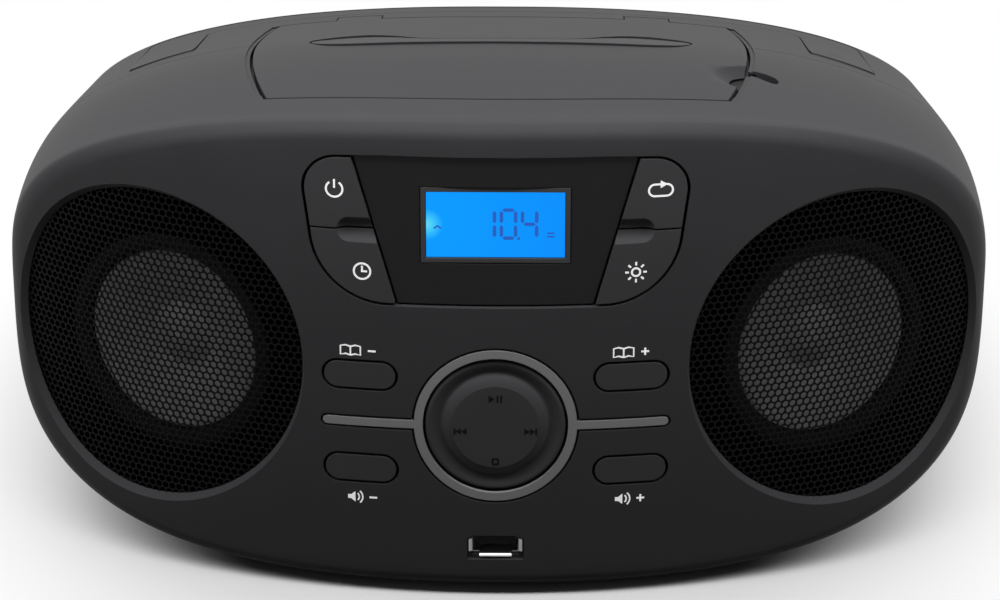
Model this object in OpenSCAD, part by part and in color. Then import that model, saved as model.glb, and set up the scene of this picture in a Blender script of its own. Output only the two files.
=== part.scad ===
/* [Cabinet] */
// Width over the two rounded ends
cabinet_w = 290; // [270:1:310]
// Depth from the face to the back
cabinet_d = 230; // [228:1:236]
// Height of the soft edge where face and top meet
face_top = 141; // [139:0.5:148]
// Height of the cabinet's belly above the table
base_gap = 3; // [2.5:0.5:5]
// Backward lean of the face in degrees
lean = 3; // [1:0.5:4]
// Wall of the moulded cabinet and lid
wall = 2.5; // [2:0.1:3]
// Rounding of the soft edge round the face
crease_r = 4; // [2.5:0.5:5]
// Rounding of the edge round the back
rear_r = 14; // [10:1:16]
// Radius of the middle of the face, seen from above
face_mid_r = 250; // [230:5:300]
// Radius of the face where it turns to the ends
face_end_r = 143; // [138:1:150]
// Half of the width that has the middle radius
face_mid_half = 88; // [80:1:92]
// Radius of the top, seen from the side
crown_r = 590; // [540:5:700]
// Distance from the face to the joint between the cabinet halves
parting = 133; // [128:1:138]
// Squareness of the upper half of the outline
top_power = 2.9; // [2.7:0.1:3.2]
// Squareness of the lower half of the outline
base_power = 4; // [3.4:0.1:4.4]
// Radius of a rubber foot
foot_r = 7; // [5:0.5:9]

/* [Speakers] */
// Distance of each speaker from the cabinet's end
speaker_end = 48.5; // [47:0.5:50]
// Height of the speakers
speaker_z = 68.6; // [66:0.2:71]
// How much less than the face each speaker turns outwards, in degrees
speaker_turn = 0.8; // [0:0.1:1.5]
// Diameter of the speaker opening
speaker_open_d = 93; // [88:0.5:95]
// Diameter of the driver's frame
driver_d = 78; // [74:0.5:82]
// Diameter of the cone at its rim
cone_d = 54; // [50:0.5:58]
// How far the driver sits below the middle of its grille
driver_drop = 3.5; // [2.5:0.5:4.5]
// Depth of the driver behind its frame
driver_depth = 34; // [30:0.5:38]
// Spacing of the six-sided grille holes
grille_pitch = 6.5; // [6:0.5:8]
// Bar left between two grille holes
grille_bar = 1.4; // [1:0.1:2]

/* [Compact disc] */
// Distance of the disc's centre behind the face
spindle_d = 112; // [110:0.5:114]
// Height of the tray floor at the disc's centre
deck_z = 110; // [108:0.5:111]
// Slope of the tray towards the back in degrees
deck_tilt = 11; // [10:0.5:12]
// Diameter of the disc well
well_d = 125; // [123:0.5:127]
// Half width of the lid at its widest
lid_half = 74.4; // [73:0.2:76]
// Distance of the lid's front edge behind the face
lid_front = 34; // [33:0.5:36]
// Distance of the lid's rear edge behind the face
lid_rear = 183; // [181:0.5:184]
// Gap round the lid
lid_gap = 1; // [0.9:0.05:1.2]
// Run of the optical pickup
pickup_run = 31; // [28:0.5:32]

/* [Handle] */
// Distance of each arm's inner side from the cabinet's end
arm_end = 49; // [47:0.5:50]
// Width of each handle arm
arm_w = 20; // [17:0.5:21]
// Thickness of the handle under the top surface
handle_t = 9; // [8:0.5:9.5]
// Distance of the handle's turning axis behind the face
arm_d = 154; // [153:0.5:156]
// Distance of the grip's front side behind the face
grip_d = 200; // [199:0.5:201]
// Width of the grip, front to back
grip_w = 15.5; // [14:0.5:16]

/* [Front panel] */
// Half width of the display panel
panel_half = 53.5; // [52:0.5:55]
// Top of the display panel
panel_top = 132; // [131:0.5:133]
// Bottom of the display panel
panel_low = 88.5; // [87:0.5:90]
// Gap round the keys
key_gap = 0.5; // [0.4:0.1:0.7]
// Press of a key
key_travel = 1.2; // [0.8:0.1:1.5]
// Length of a pill button
pill_w = 21.2; // [20:0.2:23]
// Height of a pill button
pill_h = 8.8; // [8:0.1:10]
// Distance of the pill buttons from the middle
pill_x = 38; // [37:0.5:40]
// Height of the four-way pad's centre
pad_z = 53; // [52:0.5:54]
// Outer diameter of the trim ring
ring_d = 46; // [45:0.5:47]
// Width of the trim ring
ring_w = 3; // [2.6:0.1:3.6]
// Height of the socket's centre at the bottom of the face
usb_z = 16; // [15.5:0.1:17]

/* [Back] */
// Half width of the battery bay
bay_half = 77; // [76:0.5:80]
// Lower edge of the battery bay
bay_low = 18; // [18:0.2:19]
// Height of the battery bay
bay_h = 53; // [52:0.2:54]
// Depth of the battery bay
bay_d = 28; // [27.5:0.5:29]
// Length of the widest aerial tube
aerial_l = 116; // [100:1:120]
// Radius of the widest aerial tube
aerial_r = 3.2; // [2.9:0.1:3.5]

/* [Hidden] */
$fn = 32;
// Room between pieces that never move against each other
seat = 0.2;
// Room between a moving piece and what it passes
run = 0.4;
// Room of a pin in its bore
pin_room = 0.05;
// How far a cut runs past the surface that it opens
over = 1;

// Height of the widest line, as a share of the section's height
belly_share = 0.53;
// Loss of squareness for each step back from the face
top_ease = 0.002;
crown_tilt = 2.7;
crown_run = 123;
waist_d = 130;
side_r = 886;
base_run = cabinet_d - 80;
base_r = 330;
// Share of the rear rounding that reaches the underside
base_tuck = 0.4;
skin_sides = 48;
cap_steps = [0.2, 0.4, 0.6, 0.8, 0.92];
turn_steps = [90, 60, 30, 0];
run_steps = [0.17, 0.33, 0.5, 0.67, 0.83];
back_steps = [0, 30, 60, 90];
face_lip = (base_gap + crease_r) * tan(lean);
front_y = -(cabinet_d + face_lip) / 2;
back_y = front_y + cabinet_d;
crease_d = face_top * tan(lean);
mid_yaw = asin(face_mid_half / face_mid_r);
end_x = face_mid_half - face_end_r * sin(mid_yaw);
end_y = face_mid_r - (face_mid_r - face_end_r) * cos(mid_yaw);

// Distance of the face behind its foremost line, drawn in by off
function bow(x, off = 0) =
    abs(x) < (face_mid_r - off) * sin(mid_yaw)
    ? face_mid_r - sqrt(pow(face_mid_r - off, 2) - x * x)
    : end_y - sqrt(pow(face_end_r - off, 2) - pow(abs(x) - end_x, 2));
function face_d(x, z, off = 0) = bow(x, off) + z * tan(lean);

// Height of the top along the middle, curved first and straight behind
function crown_drop(u) = u * tan(crown_tilt) + u * u / (2 * crown_r);
function top_z(d) =
    let (u = d - crease_d)
    let (past = max(0, u - crown_run))
    face_top - crown_drop(u - past) - past * (tan(crown_tilt) + crown_run / crown_r);
function half_w(d) = cabinet_w / 2 - pow(d - waist_d, 2) / (2 * side_r);
function base_z(d) = base_gap + pow(max(0, d - base_run), 2) / (2 * base_r);
function belly_z(d) = base_z(d) + belly_share * (top_z(d) - base_z(d));
function ease(d) = top_power - top_ease * d;

// Height of the top at a place that isn't on the middle line
function shoulder_z(x, d) =
    belly_z(d) + (top_z(d) - belly_z(d))
    * pow(1 - pow(abs(x) / half_w(d), ease(d)), 1 / ease(d));

// Point of the rounded outline at distance d behind the face, drawn in by off and tuck
function reach(t, p) = pow(pow(abs(cos(t)), p) + pow(abs(sin(t)), p), -1 / p);
function section(t, d, off, tuck, tuck_base) =
    let (mid = belly_z(d))
    let (r = reach(t, sin(t) < 0 ? base_power : ease(d)))
    let (h = sin(t) < 0 ? mid - base_z(d) - off - tuck_base : top_z(d) - off - tuck - mid)
    [(half_w(d) - off - tuck) * r * cos(t), mid + h * r * sin(t)];
function meet_d(t, off, d = 20, rounds = 6) =
    let (p = section(t, d, off, 0, 0))
    rounds == 0 ? d : meet_d(t, off, face_d(p.x, p.y, off), rounds - 1);

// Rings of the cabinet's surface from the middle of the face to the middle of the back
function cap_point(t, off, s) =
    let (p = section(t, meet_d(t, off), off, crease_r, crease_r))
    let (x = p.x * s, z = speaker_z + (p.y - speaker_z) * s)
    [x, front_y + face_d(x, z, off), z];
function turn_point(t, off, a) =
    let (in = crease_r * (1 - cos(a)))
    let (p = section(t, meet_d(t, off), off, in, in))
    [p.x, front_y + face_d(p.x, p.y, off) + crease_r * (1 - sin(a)), p.y];
function run_point(t, off, s) =
    let (d0 = meet_d(t, off) + crease_r, d1 = cabinet_d - off - rear_r)
    let (d = d0 + (d1 - d0) * s, p = section(t, d, off, 0, 0))
    [p.x, front_y + d, p.y];
function back_point(t, off, a) =
    let (d = cabinet_d - off - rear_r * (1 - sin(a)), in = rear_r * (1 - cos(a)))
    let (p = section(t, d, off, in, in * base_tuck))
    [p.x, front_y + d, p.y];
skin_rings = len(cap_steps) + len(turn_steps) + len(run_steps) + len(back_steps);
skin_turns = [for (j = [0:skin_sides - 1]) 360 * j / skin_sides];
skin_last = 1 + skin_rings * skin_sides;
function skin_points(off) = concat(
    [[0, front_y + face_d(0, speaker_z, off), speaker_z]],
    [for (s = cap_steps, t = skin_turns) cap_point(t, off, s)],
    [for (a = turn_steps, t = skin_turns) turn_point(t, off, a)],
    [for (s = run_steps, t = skin_turns) run_point(t, off, s)],
    [for (a = back_steps, t = skin_turns) back_point(t, off, a)],
    [[0, back_y - off, belly_z(cabinet_d)]]);
function at(k, j) = 1 + k * skin_sides + j % skin_sides;
skin_faces = concat(
    [for (j = [0:skin_sides - 1]) [0, at(0, j + 1), at(0, j)]],
    [for (k = [0:skin_rings - 2], j = [0:skin_sides - 1])
        [at(k, j), at(k, j + 1), at(k + 1, j + 1)]],
    [for (k = [0:skin_rings - 2], j = [0:skin_sides - 1])
        [at(k, j), at(k + 1, j + 1), at(k + 1, j)]],
    [for (j = [0:skin_sides - 1]) let (k = skin_rings - 1) [skin_last, at(k, j), at(k, j + 1)]]);
module skin(off) polyhedron(points = skin_points(off), faces = skin_faces, convexity = 6);
module shell(near, far) difference() {
    skin(near);
    skin(far);
}

// Frames: behind the face, on the leaning face, on a speaker's axis and on the tray
module behind(d) translate([0, front_y + d, 0]) children();
module on_face() translate([0, front_y, 0]) rotate([-lean, 0, 0]) children();
module into_face(near, far) on_face() translate([0, far, 0])
    rotate([90, 0, 0]) linear_extrude(far - near) children();
module face_band(near, far) on_face() linear_extrude(face_top) difference() {
    translate([0, face_mid_r]) circle(face_mid_r - near, $fn = 180);
    translate([0, face_mid_r]) circle(face_mid_r - far, $fn = 180);
}
speaker_half = speaker_open_d / 2;
speaker_x = cabinet_w / 2 - speaker_end;
speaker_reach = 0.9 * speaker_half;
speaker_yaw = atan2(bow(speaker_x + speaker_reach) - bow(speaker_x - speaker_reach),
    2 * speaker_reach) - speaker_turn;
speaker_d = (bow(speaker_x + speaker_reach) + bow(speaker_x - speaker_reach)) / 2;
module on_speaker(side) on_face() translate([side * speaker_x, speaker_d, speaker_z])
    rotate([0, 0, side * speaker_yaw]) rotate([90, 0, 0]) children();
module on_driver(side) on_speaker(side) translate([0, -driver_drop, 0]) children();
module on_deck() behind(spindle_d) translate([0, 0, deck_z])
    rotate([-deck_tilt, 0, 0]) children();
module both() for (side = [-1, 1]) mirror([side < 0 ? 1 : 0, 0, 0]) children();
module stadium(w, h, sides = 32) hull() both() translate([w / 2 - h / 2, 0]) circle(h / 2, $fn = sides);
module plan(low, high) translate([0, front_y, low]) linear_extrude(high - low) children();
module box(x, y, z) translate([x[0], y[0], z[0]]) cube([x[1] - x[0], y[1] - y[0], z[1] - z[0]]);
function back_of(d) = front_y + d;

// Lid, as seen from above
lid_side_r = 420;
lid_waist = 132;
lid_corner = 2;
ledge = 5;
ear_x = 46;
ear_w = 14;
cheek_t = 3;
hinge_d = lid_rear + 5;
pin_half = ear_w / 2 + run + cheek_t;
hinge_drop = 4.8;
hinge_z = shoulder_z(ear_x + pin_half, hinge_d) - hinge_drop;
hinge_r = 4.2;
hinge_pin_r = 1.5;
ear_t = 7;
module lid_plan(grow) offset(lid_corner + grow) offset(-lid_corner) intersection() {
    translate([lid_half - lid_side_r, lid_waist]) circle(lid_side_r, $fn = 180);
    translate([lid_side_r - lid_half, lid_waist]) circle(lid_side_r, $fn = 180);
    translate([0, lid_front + face_mid_r]) circle(face_mid_r, $fn = 180);
    translate([-lid_half, lid_front]) square([2 * lid_half, lid_rear - lid_front]);
}
module lid_prism(grow) plan(face_top / 2, face_top + over) lid_plan(grow);
module ear_prism(grow) both() box([ear_x - ear_w / 2 - grow, ear_x + ear_w / 2 + grow],
    [back_of(lid_rear) - ear_w, back_of(hinge_d)], [hinge_z - hinge_r - grow, face_top]);
module ear_barrel(grow, room) both()
    translate([ear_x - ear_w / 2 - grow, back_of(hinge_d), hinge_z]) rotate([0, 90, 0])
        cylinder(r = hinge_r + room, h = ear_w + 2 * grow);
ear_room = 2.2;
module lid_ear_cut(grow) {
    ear_prism(grow);
    ear_barrel(grow, grow + ear_room);
}
module hinge_bore(r) both() translate([ear_x - pin_half - over, back_of(hinge_d), hinge_z])
    rotate([0, 90, 0]) cylinder(r = r, h = 2 * (pin_half + over), $fn = 48);

// Handle, as seen from above
arm_in = cabinet_w / 2 - arm_end;
arm_drop = 5.6;
arm_z = shoulder_z(arm_in, arm_d) - arm_drop;
nose_r = 7.6;
pivot_r = 2;
pivot_seat = (arm_in - lid_half - ledge) / 2;
pivot_grip = 8;
module handle_plan(grow) intersection() {
    translate([-cabinet_w, arm_d - grow]) square([2 * cabinet_w, cabinet_d]);
    difference() {
        round_front(arm_in + arm_w, grip_d + grip_w, grip_corner, grow);
        round_front(arm_in, grip_d, grip_corner, -grow);
    }
}
grip_corner = 6;
module round_front(half, d, corner, grow) offset(corner + grow) translate([corner - half, 0])
    square([2 * (half - corner), d - corner]);
// The grip's rear side is turned about the handle's axis
grip_reach = grip_d + grip_w - arm_d;
module grip_turn(grow) translate([-cabinet_w / 2, back_of(arm_d), arm_z]) rotate([0, 90, 0])
    cylinder(r = grip_reach + grow, h = cabinet_w, $fn = 180);
// Each nose is a little narrower than its arm, so that no two sides share a plane
nose_step = 0.3;
module nose(grow) both() translate([arm_in + nose_step - grow, back_of(arm_d), arm_z])
    rotate([0, 90, 0]) cylinder(r = nose_r + grow, h = arm_w + 2 * (grow - nose_step));
module handle_space(grow, floor_off) union() {
    difference() {
        intersection() {
            plan(face_top / 2, face_top + over) handle_plan(grow);
            grip_turn(grow);
        }
        skin(floor_off);
    }
    nose(grow);
}
module handle_block() intersection() {
    skin(over / 2);
    union() {
        difference() {
            plan(face_top / 2, face_top + over) handle_plan(run + wall);
            skin(handle_t + run + wall);
        }
        nose(run + wall);
        both() translate([arm_in - pivot_seat, back_of(arm_d), arm_z]) rotate([0, 90, 0])
            cylinder(r = pivot_r + 3, h = pivot_seat);
    }
}

// Aerial shelf and battery bay at the back
shelf_z = bay_low + bay_h + 2 * wall;
shelf_d = grip_d + grip_w + 5;
aerial_d = (shelf_d + cabinet_d) / 2;
aerial_z = shelf_z + 6.2;
aerial_x = cabinet_w / 2 - 53;
shelf_x = [-cabinet_w / 2 - over, aerial_x + 12];
bay_front = cabinet_d - bay_d;
inlet_x = cabinet_w / 2 - 41;
inlet_z = 32;
inlet_w = 20;
inlet_h = 12;
jack_x = -inlet_x;
jack_z = 32;
jack_r = 1.8;
jack_body = 8;
post_x = cabinet_w / 2 - 29;
post_z = [26, 62];
post_r = 5.5;
screw_head_r = 3.2;
screw_r = 1.5;
screw_head_t = 2.4;
screw_l = 14;
screw_seat = parting + 7;
foot_x = cabinet_w / 2 - 60;
foot_d = [60, cabinet_d - 38];
peg_r = 2.5;
peg_l = 7;
module shelf_cut(grow) box([shelf_x[0] - grow, shelf_x[1] + grow],
    [back_of(shelf_d) - grow, back_y + over], [shelf_z - grow, face_top]);
module bay_cut(grow) box([-bay_half - grow, bay_half + grow],
    [back_of(bay_front) - grow, back_y + over], [bay_low - grow, bay_low + bay_h + grow]);

// Front panel outline and what is cut through the face
panel_corner = 10;
panel_low_r = 22;
divide_top = 39.7;
divide_low = 26.9;
split_z = 110.5;
scoop_x = 39;
scoop_w = 10.5;
scoop_h = 6.6;
pill_rise = 14.2;
key_t = 4;
window_in = 1.4;
window_t = 1.8;
lcd_z = 112.3;
lcd_w = 37.4;
lcd_h = 18.2;
lcd_rim = 1.9;
lcd_t = 6;
pad_r = ring_d / 2 - ring_w;
bar_half = 49;
bar_h = 2.8;
trim_in = 1.4;
trim_out = 0.5;
usb_lip_w = 15.6;
usb_lip_h = 8;
usb_w = 13.2;
usb_h = 5.8;
usb_depth = 14;
usb_sheet = 0.35;
board_in = 20;
board_t = 1.6;
board_low = 24;
board_top = 127;
switch_t = 4.3;
switch_w = 6;
stem_r = 2;
board_post_r = 3;
post_screw_l = 6;
board_post_x = speaker_x - speaker_reach - 12.65;
board_half = board_post_x + 4;
board_posts = [for (side = [-1, 1], z = [80, 28]) [side * board_post_x, z]];
module panel_outline() hull() both() {
    translate([panel_half - panel_corner, panel_top - panel_corner]) circle(panel_corner);
    translate([divide_low + 3, panel_low + panel_low_r]) circle(panel_low_r);
}
module window_outline(grow) polygon([
    [-divide_low - grow, panel_low - over], [divide_low + grow, panel_low - over],
    [divide_top + grow, panel_top + over], [-divide_top - grow, panel_top + over]]);
module trim_outline(grow) {
    translate([0, pad_z]) circle(ring_d / 2 + grow, $fn = 64);
    translate([-bar_half - grow, pad_z - bar_h / 2 - grow])
        square([2 * (bar_half + grow), bar_h + 2 * grow]);
}
module pill_place(side, row) translate([side * pill_x, pad_z + row * pill_rise]) children();
module each_pill() for (side = [-1, 1], row = [-1, 1]) pill_place(side, row) children();

module front_cabinet() color([0.13, 0.13, 0.14]) difference() {
    union() {
        shell(0, wall);
        for (side = [-1, 1]) speaker_collar(side);
        intersection() {
            skin(over / 2);
            union() {
                for (p = board_posts) into_face(wall, board_in) translate(p) difference() {
                    circle(board_post_r, $fn = 16);
                    circle(1.3, $fn = 12);
                }
                both() for (z = post_z) front_post(z);
            }
        }
        both() foot_boss(foot_d[0]);
    }
    behind(parting) translate([-cabinet_w, 0, -cabinet_w]) cube(2 * cabinet_w);
    for (side = [-1, 1]) speaker_opening(side);
    into_face(-over, board_in / 2) panel_outline();
    into_face(-over, board_in / 2) each_pill() stadium(pill_w + 2 * key_gap, pill_h + 2 * key_gap);
    into_face(-over, board_in / 2) translate([0, pad_z]) circle(pad_r + run, $fn = 48);
    intersection() {
        face_band(-over, trim_in);
        into_face(-over, board_in) trim_outline(seat);
    }
    into_face(-over, board_in) translate([0, usb_z]) square([usb_w + 0.6, usb_h + 0.6], center = true);
    into_face(-over, 0.8) translate([0, usb_z]) square([usb_lip_w + 0.6, usb_lip_h + 0.6], center = true);
    lid_prism(lid_gap);
    finger_slot(0);
    both() for (z = post_z) translate([post_x, back_of(parting), z]) rotate([90, 0, 0])
        cylinder(r = screw_r + 0.1, h = 20, center = true, $fn = 24);
    both() foot_hole(foot_d[0]);
    for (k = [-2:2], d = [56, 84]) translate([24 * k, back_of(d), base_gap]) linear_extrude(12, center = true)
        stadium(16, 2.4, 12);
    for (side = [-1, 1]) on_driver(side) each_screw()
        cylinder(r = 1.5, h = 2 * (baffle_in + baffle_t + over), center = true, $fn = 12);
}

// Collar and baffle behind one grille, with the driver's opening
collar_t = 2.5;
baffle_in = 4.2;
baffle_t = 2.5;
driver_open = driver_d / 2 - 5;
module speaker_collar(side) intersection() {
    skin(over / 2);
    on_speaker(side) translate([0, 0, -baffle_in - baffle_t]) difference() {
        cylinder(r = speaker_half + collar_t, h = baffle_in + baffle_t + 12);
        translate([0, -driver_drop, -over]) cylinder(r = driver_open, h = baffle_t + 2 * over);
    }
}
module speaker_opening(side) on_speaker(side) {
    translate([0, 0, -baffle_in]) cylinder(r = speaker_half, h = 60, $fn = 64);
    translate([0, -driver_drop, -baffle_in - baffle_t - over])
        cylinder(r = driver_open, h = baffle_in + baffle_t);
}
module front_post(z) {
    translate([post_x, back_of(parting), z]) rotate([90, 0, 0]) cylinder(r = post_r, h = 38, $fn = 24);
    box([post_x, cabinet_w / 2], [back_of(parting) - 38, back_of(parting)], [z - 1.2, z + 1.2]);
}
module foot_boss(d) translate([foot_x, back_of(d), base_gap]) cylinder(r = foot_r + 1, h = 14, $fn = 24);
module foot_hole(d) translate([foot_x, back_of(d), base_gap - over])
    cylinder(r = peg_r + seat, h = 8 + over, $fn = 24);
// Finger slot beside the lid and the dimple that faces it
slot_d = 77;
slot_r = 11;
slot_reach = 8;
module finger_slot(grow) plan(face_top / 2, face_top + over) intersection() {
    translate([lid_half + 3, slot_d]) circle(slot_r + grow);
    translate([lid_half - slot_reach / 2, slot_d - 2 * slot_r])
        square([1.5 * slot_reach + grow, 4 * slot_r]);
}

module rear_cabinet() color([0.12, 0.12, 0.13]) difference() {
    union() {
        difference() {
            shell(0, wall);
            behind(parting) translate([-cabinet_w, -2 * cabinet_w, -cabinet_w]) cube(2 * cabinet_w);
        }
        handle_block();
        intersection() {
            skin(over / 2);
            union() {
                shelf_cut(wall);
                bay_cut(wall);
                both() for (z = post_z) rear_tube(z);
                for (x = [-main_hole, main_hole], d = board_ds) translate([x, back_of(d), 0])
                    main_post();
                box([trafo_x - 12, trafo_x + 12], [back_of(trafo_d) - 14, back_of(trafo_d) + 14],
                    [0, trafo_z]);
                box([inlet_x - inlet_w / 2 - 3, inlet_x + inlet_w / 2 + 3],
                    [back_y - 14, back_y], [inlet_z - inlet_h / 2 - 3, inlet_z + inlet_h / 2 + 3]);
                box([jack_x - jack_body, jack_x + jack_body], [back_y - 8, back_y],
                    [jack_z - jack_body, jack_z + jack_body]);
            }
        }
        both() foot_boss(foot_d[1]);
    }
    handle_space(run, handle_t + run);
    shelf_cut(0);
    bay_cut(0);
    lid_prism(lid_gap);
    lid_ear_cut(run);
    both() for (z = post_z) rear_tube_hole(z);
    translate([inlet_x, back_y, inlet_z]) rotate([90, 0, 0])
        linear_extrude(40, center = true) stadium(inlet_w + 2 * seat, inlet_h + 2 * seat);
    translate([jack_x, back_y, jack_z]) rotate([90, 0, 0])
        cylinder(r = 4 + seat, h = 20, center = true, $fn = 24);
    translate([jack_x, back_y - 11, jack_z])
        cube([2 * jack_body - 2 * wall, 18, 2 * jack_body - 2 * wall], center = true);
    both() for (k = [0:4]) translate([vent_x, back_y, vent_z + 5 * k]) vent();
    both() translate([arm_in - pivot_seat, back_of(arm_d), arm_z]) rotate([0, 90, 0])
        cylinder(r = pivot_r + seat, h = pivot_seat, $fn = 24);
    both() translate([bay_half - over, back_y - door_t / 2, door_axis_z]) rotate([0, 90, 0])
        cylinder(r = door_pin_r + pin_room, h = 4, $fn = 24);
    translate([aerial_x, back_of(aerial_d), shelf_z - 6]) cylinder(r = 2 + seat, h = 8, $fn = 24);
    both() foot_hole(foot_d[1]);
}
main_d = [parting + 7, bay_front - 10];
main_mid = (main_d[0] + main_d[1]) / 2;
board_ds = [main_d[0] + 6, main_d[1] - 6];
main_z = 14;
main_half = cabinet_w / 2 - 77;
main_hole = main_half - 8;
main_screw_l = 5;
module main_post() difference() {
    cylinder(r = 4, h = main_z);
    translate([0, 0, main_z - 7]) cylinder(r = 1.3, h = 8, $fn = 12);
}
trafo_x = cabinet_w / 2 - 58;
trafo_d = main_mid + 2;
trafo_z = 12;
door_t = 2.2;
door_axis_z = bay_low + door_t;
door_pin_r = 0.8;
vent_x = cabinet_w / 2 - 48;
vent_z = 46;
module rear_tube(z) translate([post_x, back_y, z]) rotate([90, 0, 0])
    cylinder(r = post_r, h = cabinet_d - parting, $fn = 24);
module rear_tube_hole(z) translate([post_x, back_y + over, z]) rotate([90, 0, 0]) {
    cylinder(r = screw_head_r + 0.5, h = cabinet_d - screw_seat + over, $fn = 24);
    cylinder(r = screw_r + 0.3, h = 2 * cabinet_d, $fn = 24);
}
module vent() rotate([90, 0, 0]) linear_extrude(8, center = true) stadium(18, 2.2, 12);

// Disc tray, lid and hinge
deck_t = 2.2;
hub_hole = 18;
slot_half = 9;
lens_d = 25;
dish_in = 1.2;
dish_front = 105;
dish_rear = 118;
dish_front_r = 85;
dish_rear_r = 96;
module hinge_cheeks() both() for (side = [-1, 1])
    translate([ear_x + side * (ear_w / 2 + run + cheek_t / 2), back_of(hinge_d), hinge_z])
        cube([cheek_t, 2 * hinge_r, 2 * (hinge_r + cheek_t)], center = true);
module cd_deck() color([0.1, 0.1, 0.11]) difference() {
    union() {
        intersection() {
            skin(wall + seat);
            union() {
                difference() {
                    union() {
                        lid_prism(ledge);
                        finger_slot(ledge / 2);
                    }
                    skin(wall + seat + deck_t);
                }
                on_deck() translate([0, 0, -deck_t]) cylinder(r = well_d / 2 + deck_t, h = 60);
                hinge_cheeks();
            }
        }
        on_deck() each_mount() translate([0, 0, -mount_low]) cylinder(r = mount_pin_r, h = mount_low);
    }
    on_deck() cylinder(r = well_d / 2, h = 80);
    on_deck() translate([0, 0, -deck_t - over]) cylinder(r = hub_hole, h = 10);
    on_deck() translate([-slot_half, 0, -deck_t - over])
        cube([2 * slot_half, well_d / 2 - over, 10]);
    lid_ear_cut(run);
    hinge_bore(hinge_pin_r + pin_room);
}
// Lens-shaped dish, deepest along its front edge
module dish_outline() plan(face_top / 2, face_top + over) intersection() {
    difference() {
        translate([0, dish_front + dish_front_r]) circle(dish_front_r, $fn = 120);
        translate([0, dish_rear + dish_rear_r]) circle(dish_rear_r, $fn = 120);
    }
    translate([-lid_half, dish_front]) square([2 * lid_half, dish_front_r / 3]);
}
module tipped_skin() translate([0, back_of(dish_rear), top_z(dish_rear)])
    rotate([atan(dish_in / (dish_rear - dish_front)), 0, 0])
        translate([0, -back_of(dish_rear), -top_z(dish_rear)]) skin(0);
module cd_lid() color([0.14, 0.14, 0.15]) difference() {
    union() {
        difference() {
            intersection() {
                shell(0, wall);
                lid_prism(0);
            }
            lid_rear_relief();
        }
        intersection() {
            shell(0, ear_t);
            ear_prism(0);
        }
        ear_barrel(0, 0);
    }
    difference() {
        dish_outline();
        tipped_skin();
    }
    translate([lid_half + 2, back_of(slot_d), shoulder_z(lid_half, slot_d) + 9]) sphere(slot_r + over);
    hinge_bore(hinge_pin_r + pin_room);
}
// The lid's rear edge is thinned from below so that it can swing over the cabinet
rear_lip = 0.8;
module lid_rear_relief() intersection() {
    skin(rear_lip);
    plan(face_top / 2, face_top) translate([-lid_half, lid_rear - 2 * rear_lip])
        square([2 * lid_half, lid_corner]);
}
module lid_hinge_pins() color([0.75, 0.75, 0.77]) both()
    translate([ear_x - pin_half, back_of(hinge_d), hinge_z])
        rotate([0, 90, 0]) cylinder(r = hinge_pin_r, h = 2 * pin_half);

// Disc drive, in the tray's frame
plate_top = 5.2;
plate_t = 1.2;
plate_half = 44;
plate_near = -20;
plate_far = 78;
window_half = 23;
window_near = 9;
window_far = pickup_run + 42;
mount_pin_r = 1.8;
mount_low = plate_top + plate_t + 2;
mounts = [[-38, -14], [38, -14], [-38, 30], [38, 30]];
motor_r = 11.5;
motor_h = 12;
shaft_r = 1;
rod_x = 18;
rod_r = 1.5;
rod_z = -10;
block_half = 22;
block_l = 24;
block_top = -deck_t - over;
block_low = -13;
rack_t = 2.5;
tooth_module = 0.8;
gear_teeth = 16;
tooth_pitch = PI * tooth_module;
gear_r = gear_teeth * tooth_module / 2;
gear_x = block_half + rack_t + tooth_module + gear_r;
gear_y = 44.5;
gear_z = -12;
gear_h = 2.6;
sled_motor_r = 7;
sled_motor_h = 11;
sled_top = gear_z - over;
module each_mount() for (p = mounts) translate(p) children();
module mechanism_chassis() color([0.2, 0.2, 0.22]) on_deck() difference() {
    union() {
        box([-plate_half, plate_half], [plate_near, plate_far], [-plate_top - plate_t, -plate_top]);
        for (side = [-1, 1], y = [window_near, window_far])
            box([side * rod_x - 3, side * rod_x + 3], [y - 2, y + 2], [rod_z - 3, -plate_top]);
        box([plate_half - 2, plate_half], [gear_y - 8, gear_y + 8],
            [sled_top - sled_motor_h - 2, -plate_top]);
        box([gear_x - 6, plate_half], [gear_y - 8, gear_y + 8],
            [sled_top - sled_motor_h - 2, sled_top - sled_motor_h - seat]);
    }
    box([-window_half, window_half], [window_near + 2, window_far - 2], [-plate_top - 9, 0]);
    translate([0, 0, -plate_top - plate_t - over]) cylinder(r = 3, h = plate_t + 2 * over);
    for (side = [-1, 1]) translate([side * rod_x, window_near - 9, rod_z]) rotate([-90, 0, 0])
        cylinder(r = rod_r + pin_room, h = window_far - window_near + 20);
    translate([0, 0, -plate_top - plate_t - over]) each_mount()
        cylinder(r = grommet_neck + seat, h = plate_t + 2 * over);
}
grommet_r = 4.5;
grommet_neck = 3;
module mount_grommets() color([0.06, 0.06, 0.06]) on_deck() each_mount() rotate_extrude()
    polygon([
        [mount_pin_r + seat, -mount_low + 0.2], [grommet_r, -mount_low + 0.2],
        [grommet_r, -plate_top - plate_t], [grommet_neck, -plate_top - plate_t],
        [grommet_neck, -plate_top], [grommet_r, -plate_top],
        [grommet_r, -deck_t - seat], [mount_pin_r + seat, -deck_t - seat]]);
module drive_motors() color([0.7, 0.7, 0.72]) {
    spindle_motor();
    sled_motor();
}
module spindle_motor() on_deck() difference() {
    translate([0, 0, -plate_top - plate_t - motor_h]) cylinder(r = motor_r, h = motor_h);
    translate([0, 0, -plate_top - plate_t - motor_h + 3])
        cylinder(r = shaft_r + pin_room, h = motor_h);
}
table_r = 14.5;
table_low = 1.2;
table_top = 4.6;
hub_r = 7.4;
hub_edge = 7;
hub_top = 8.6;
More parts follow.
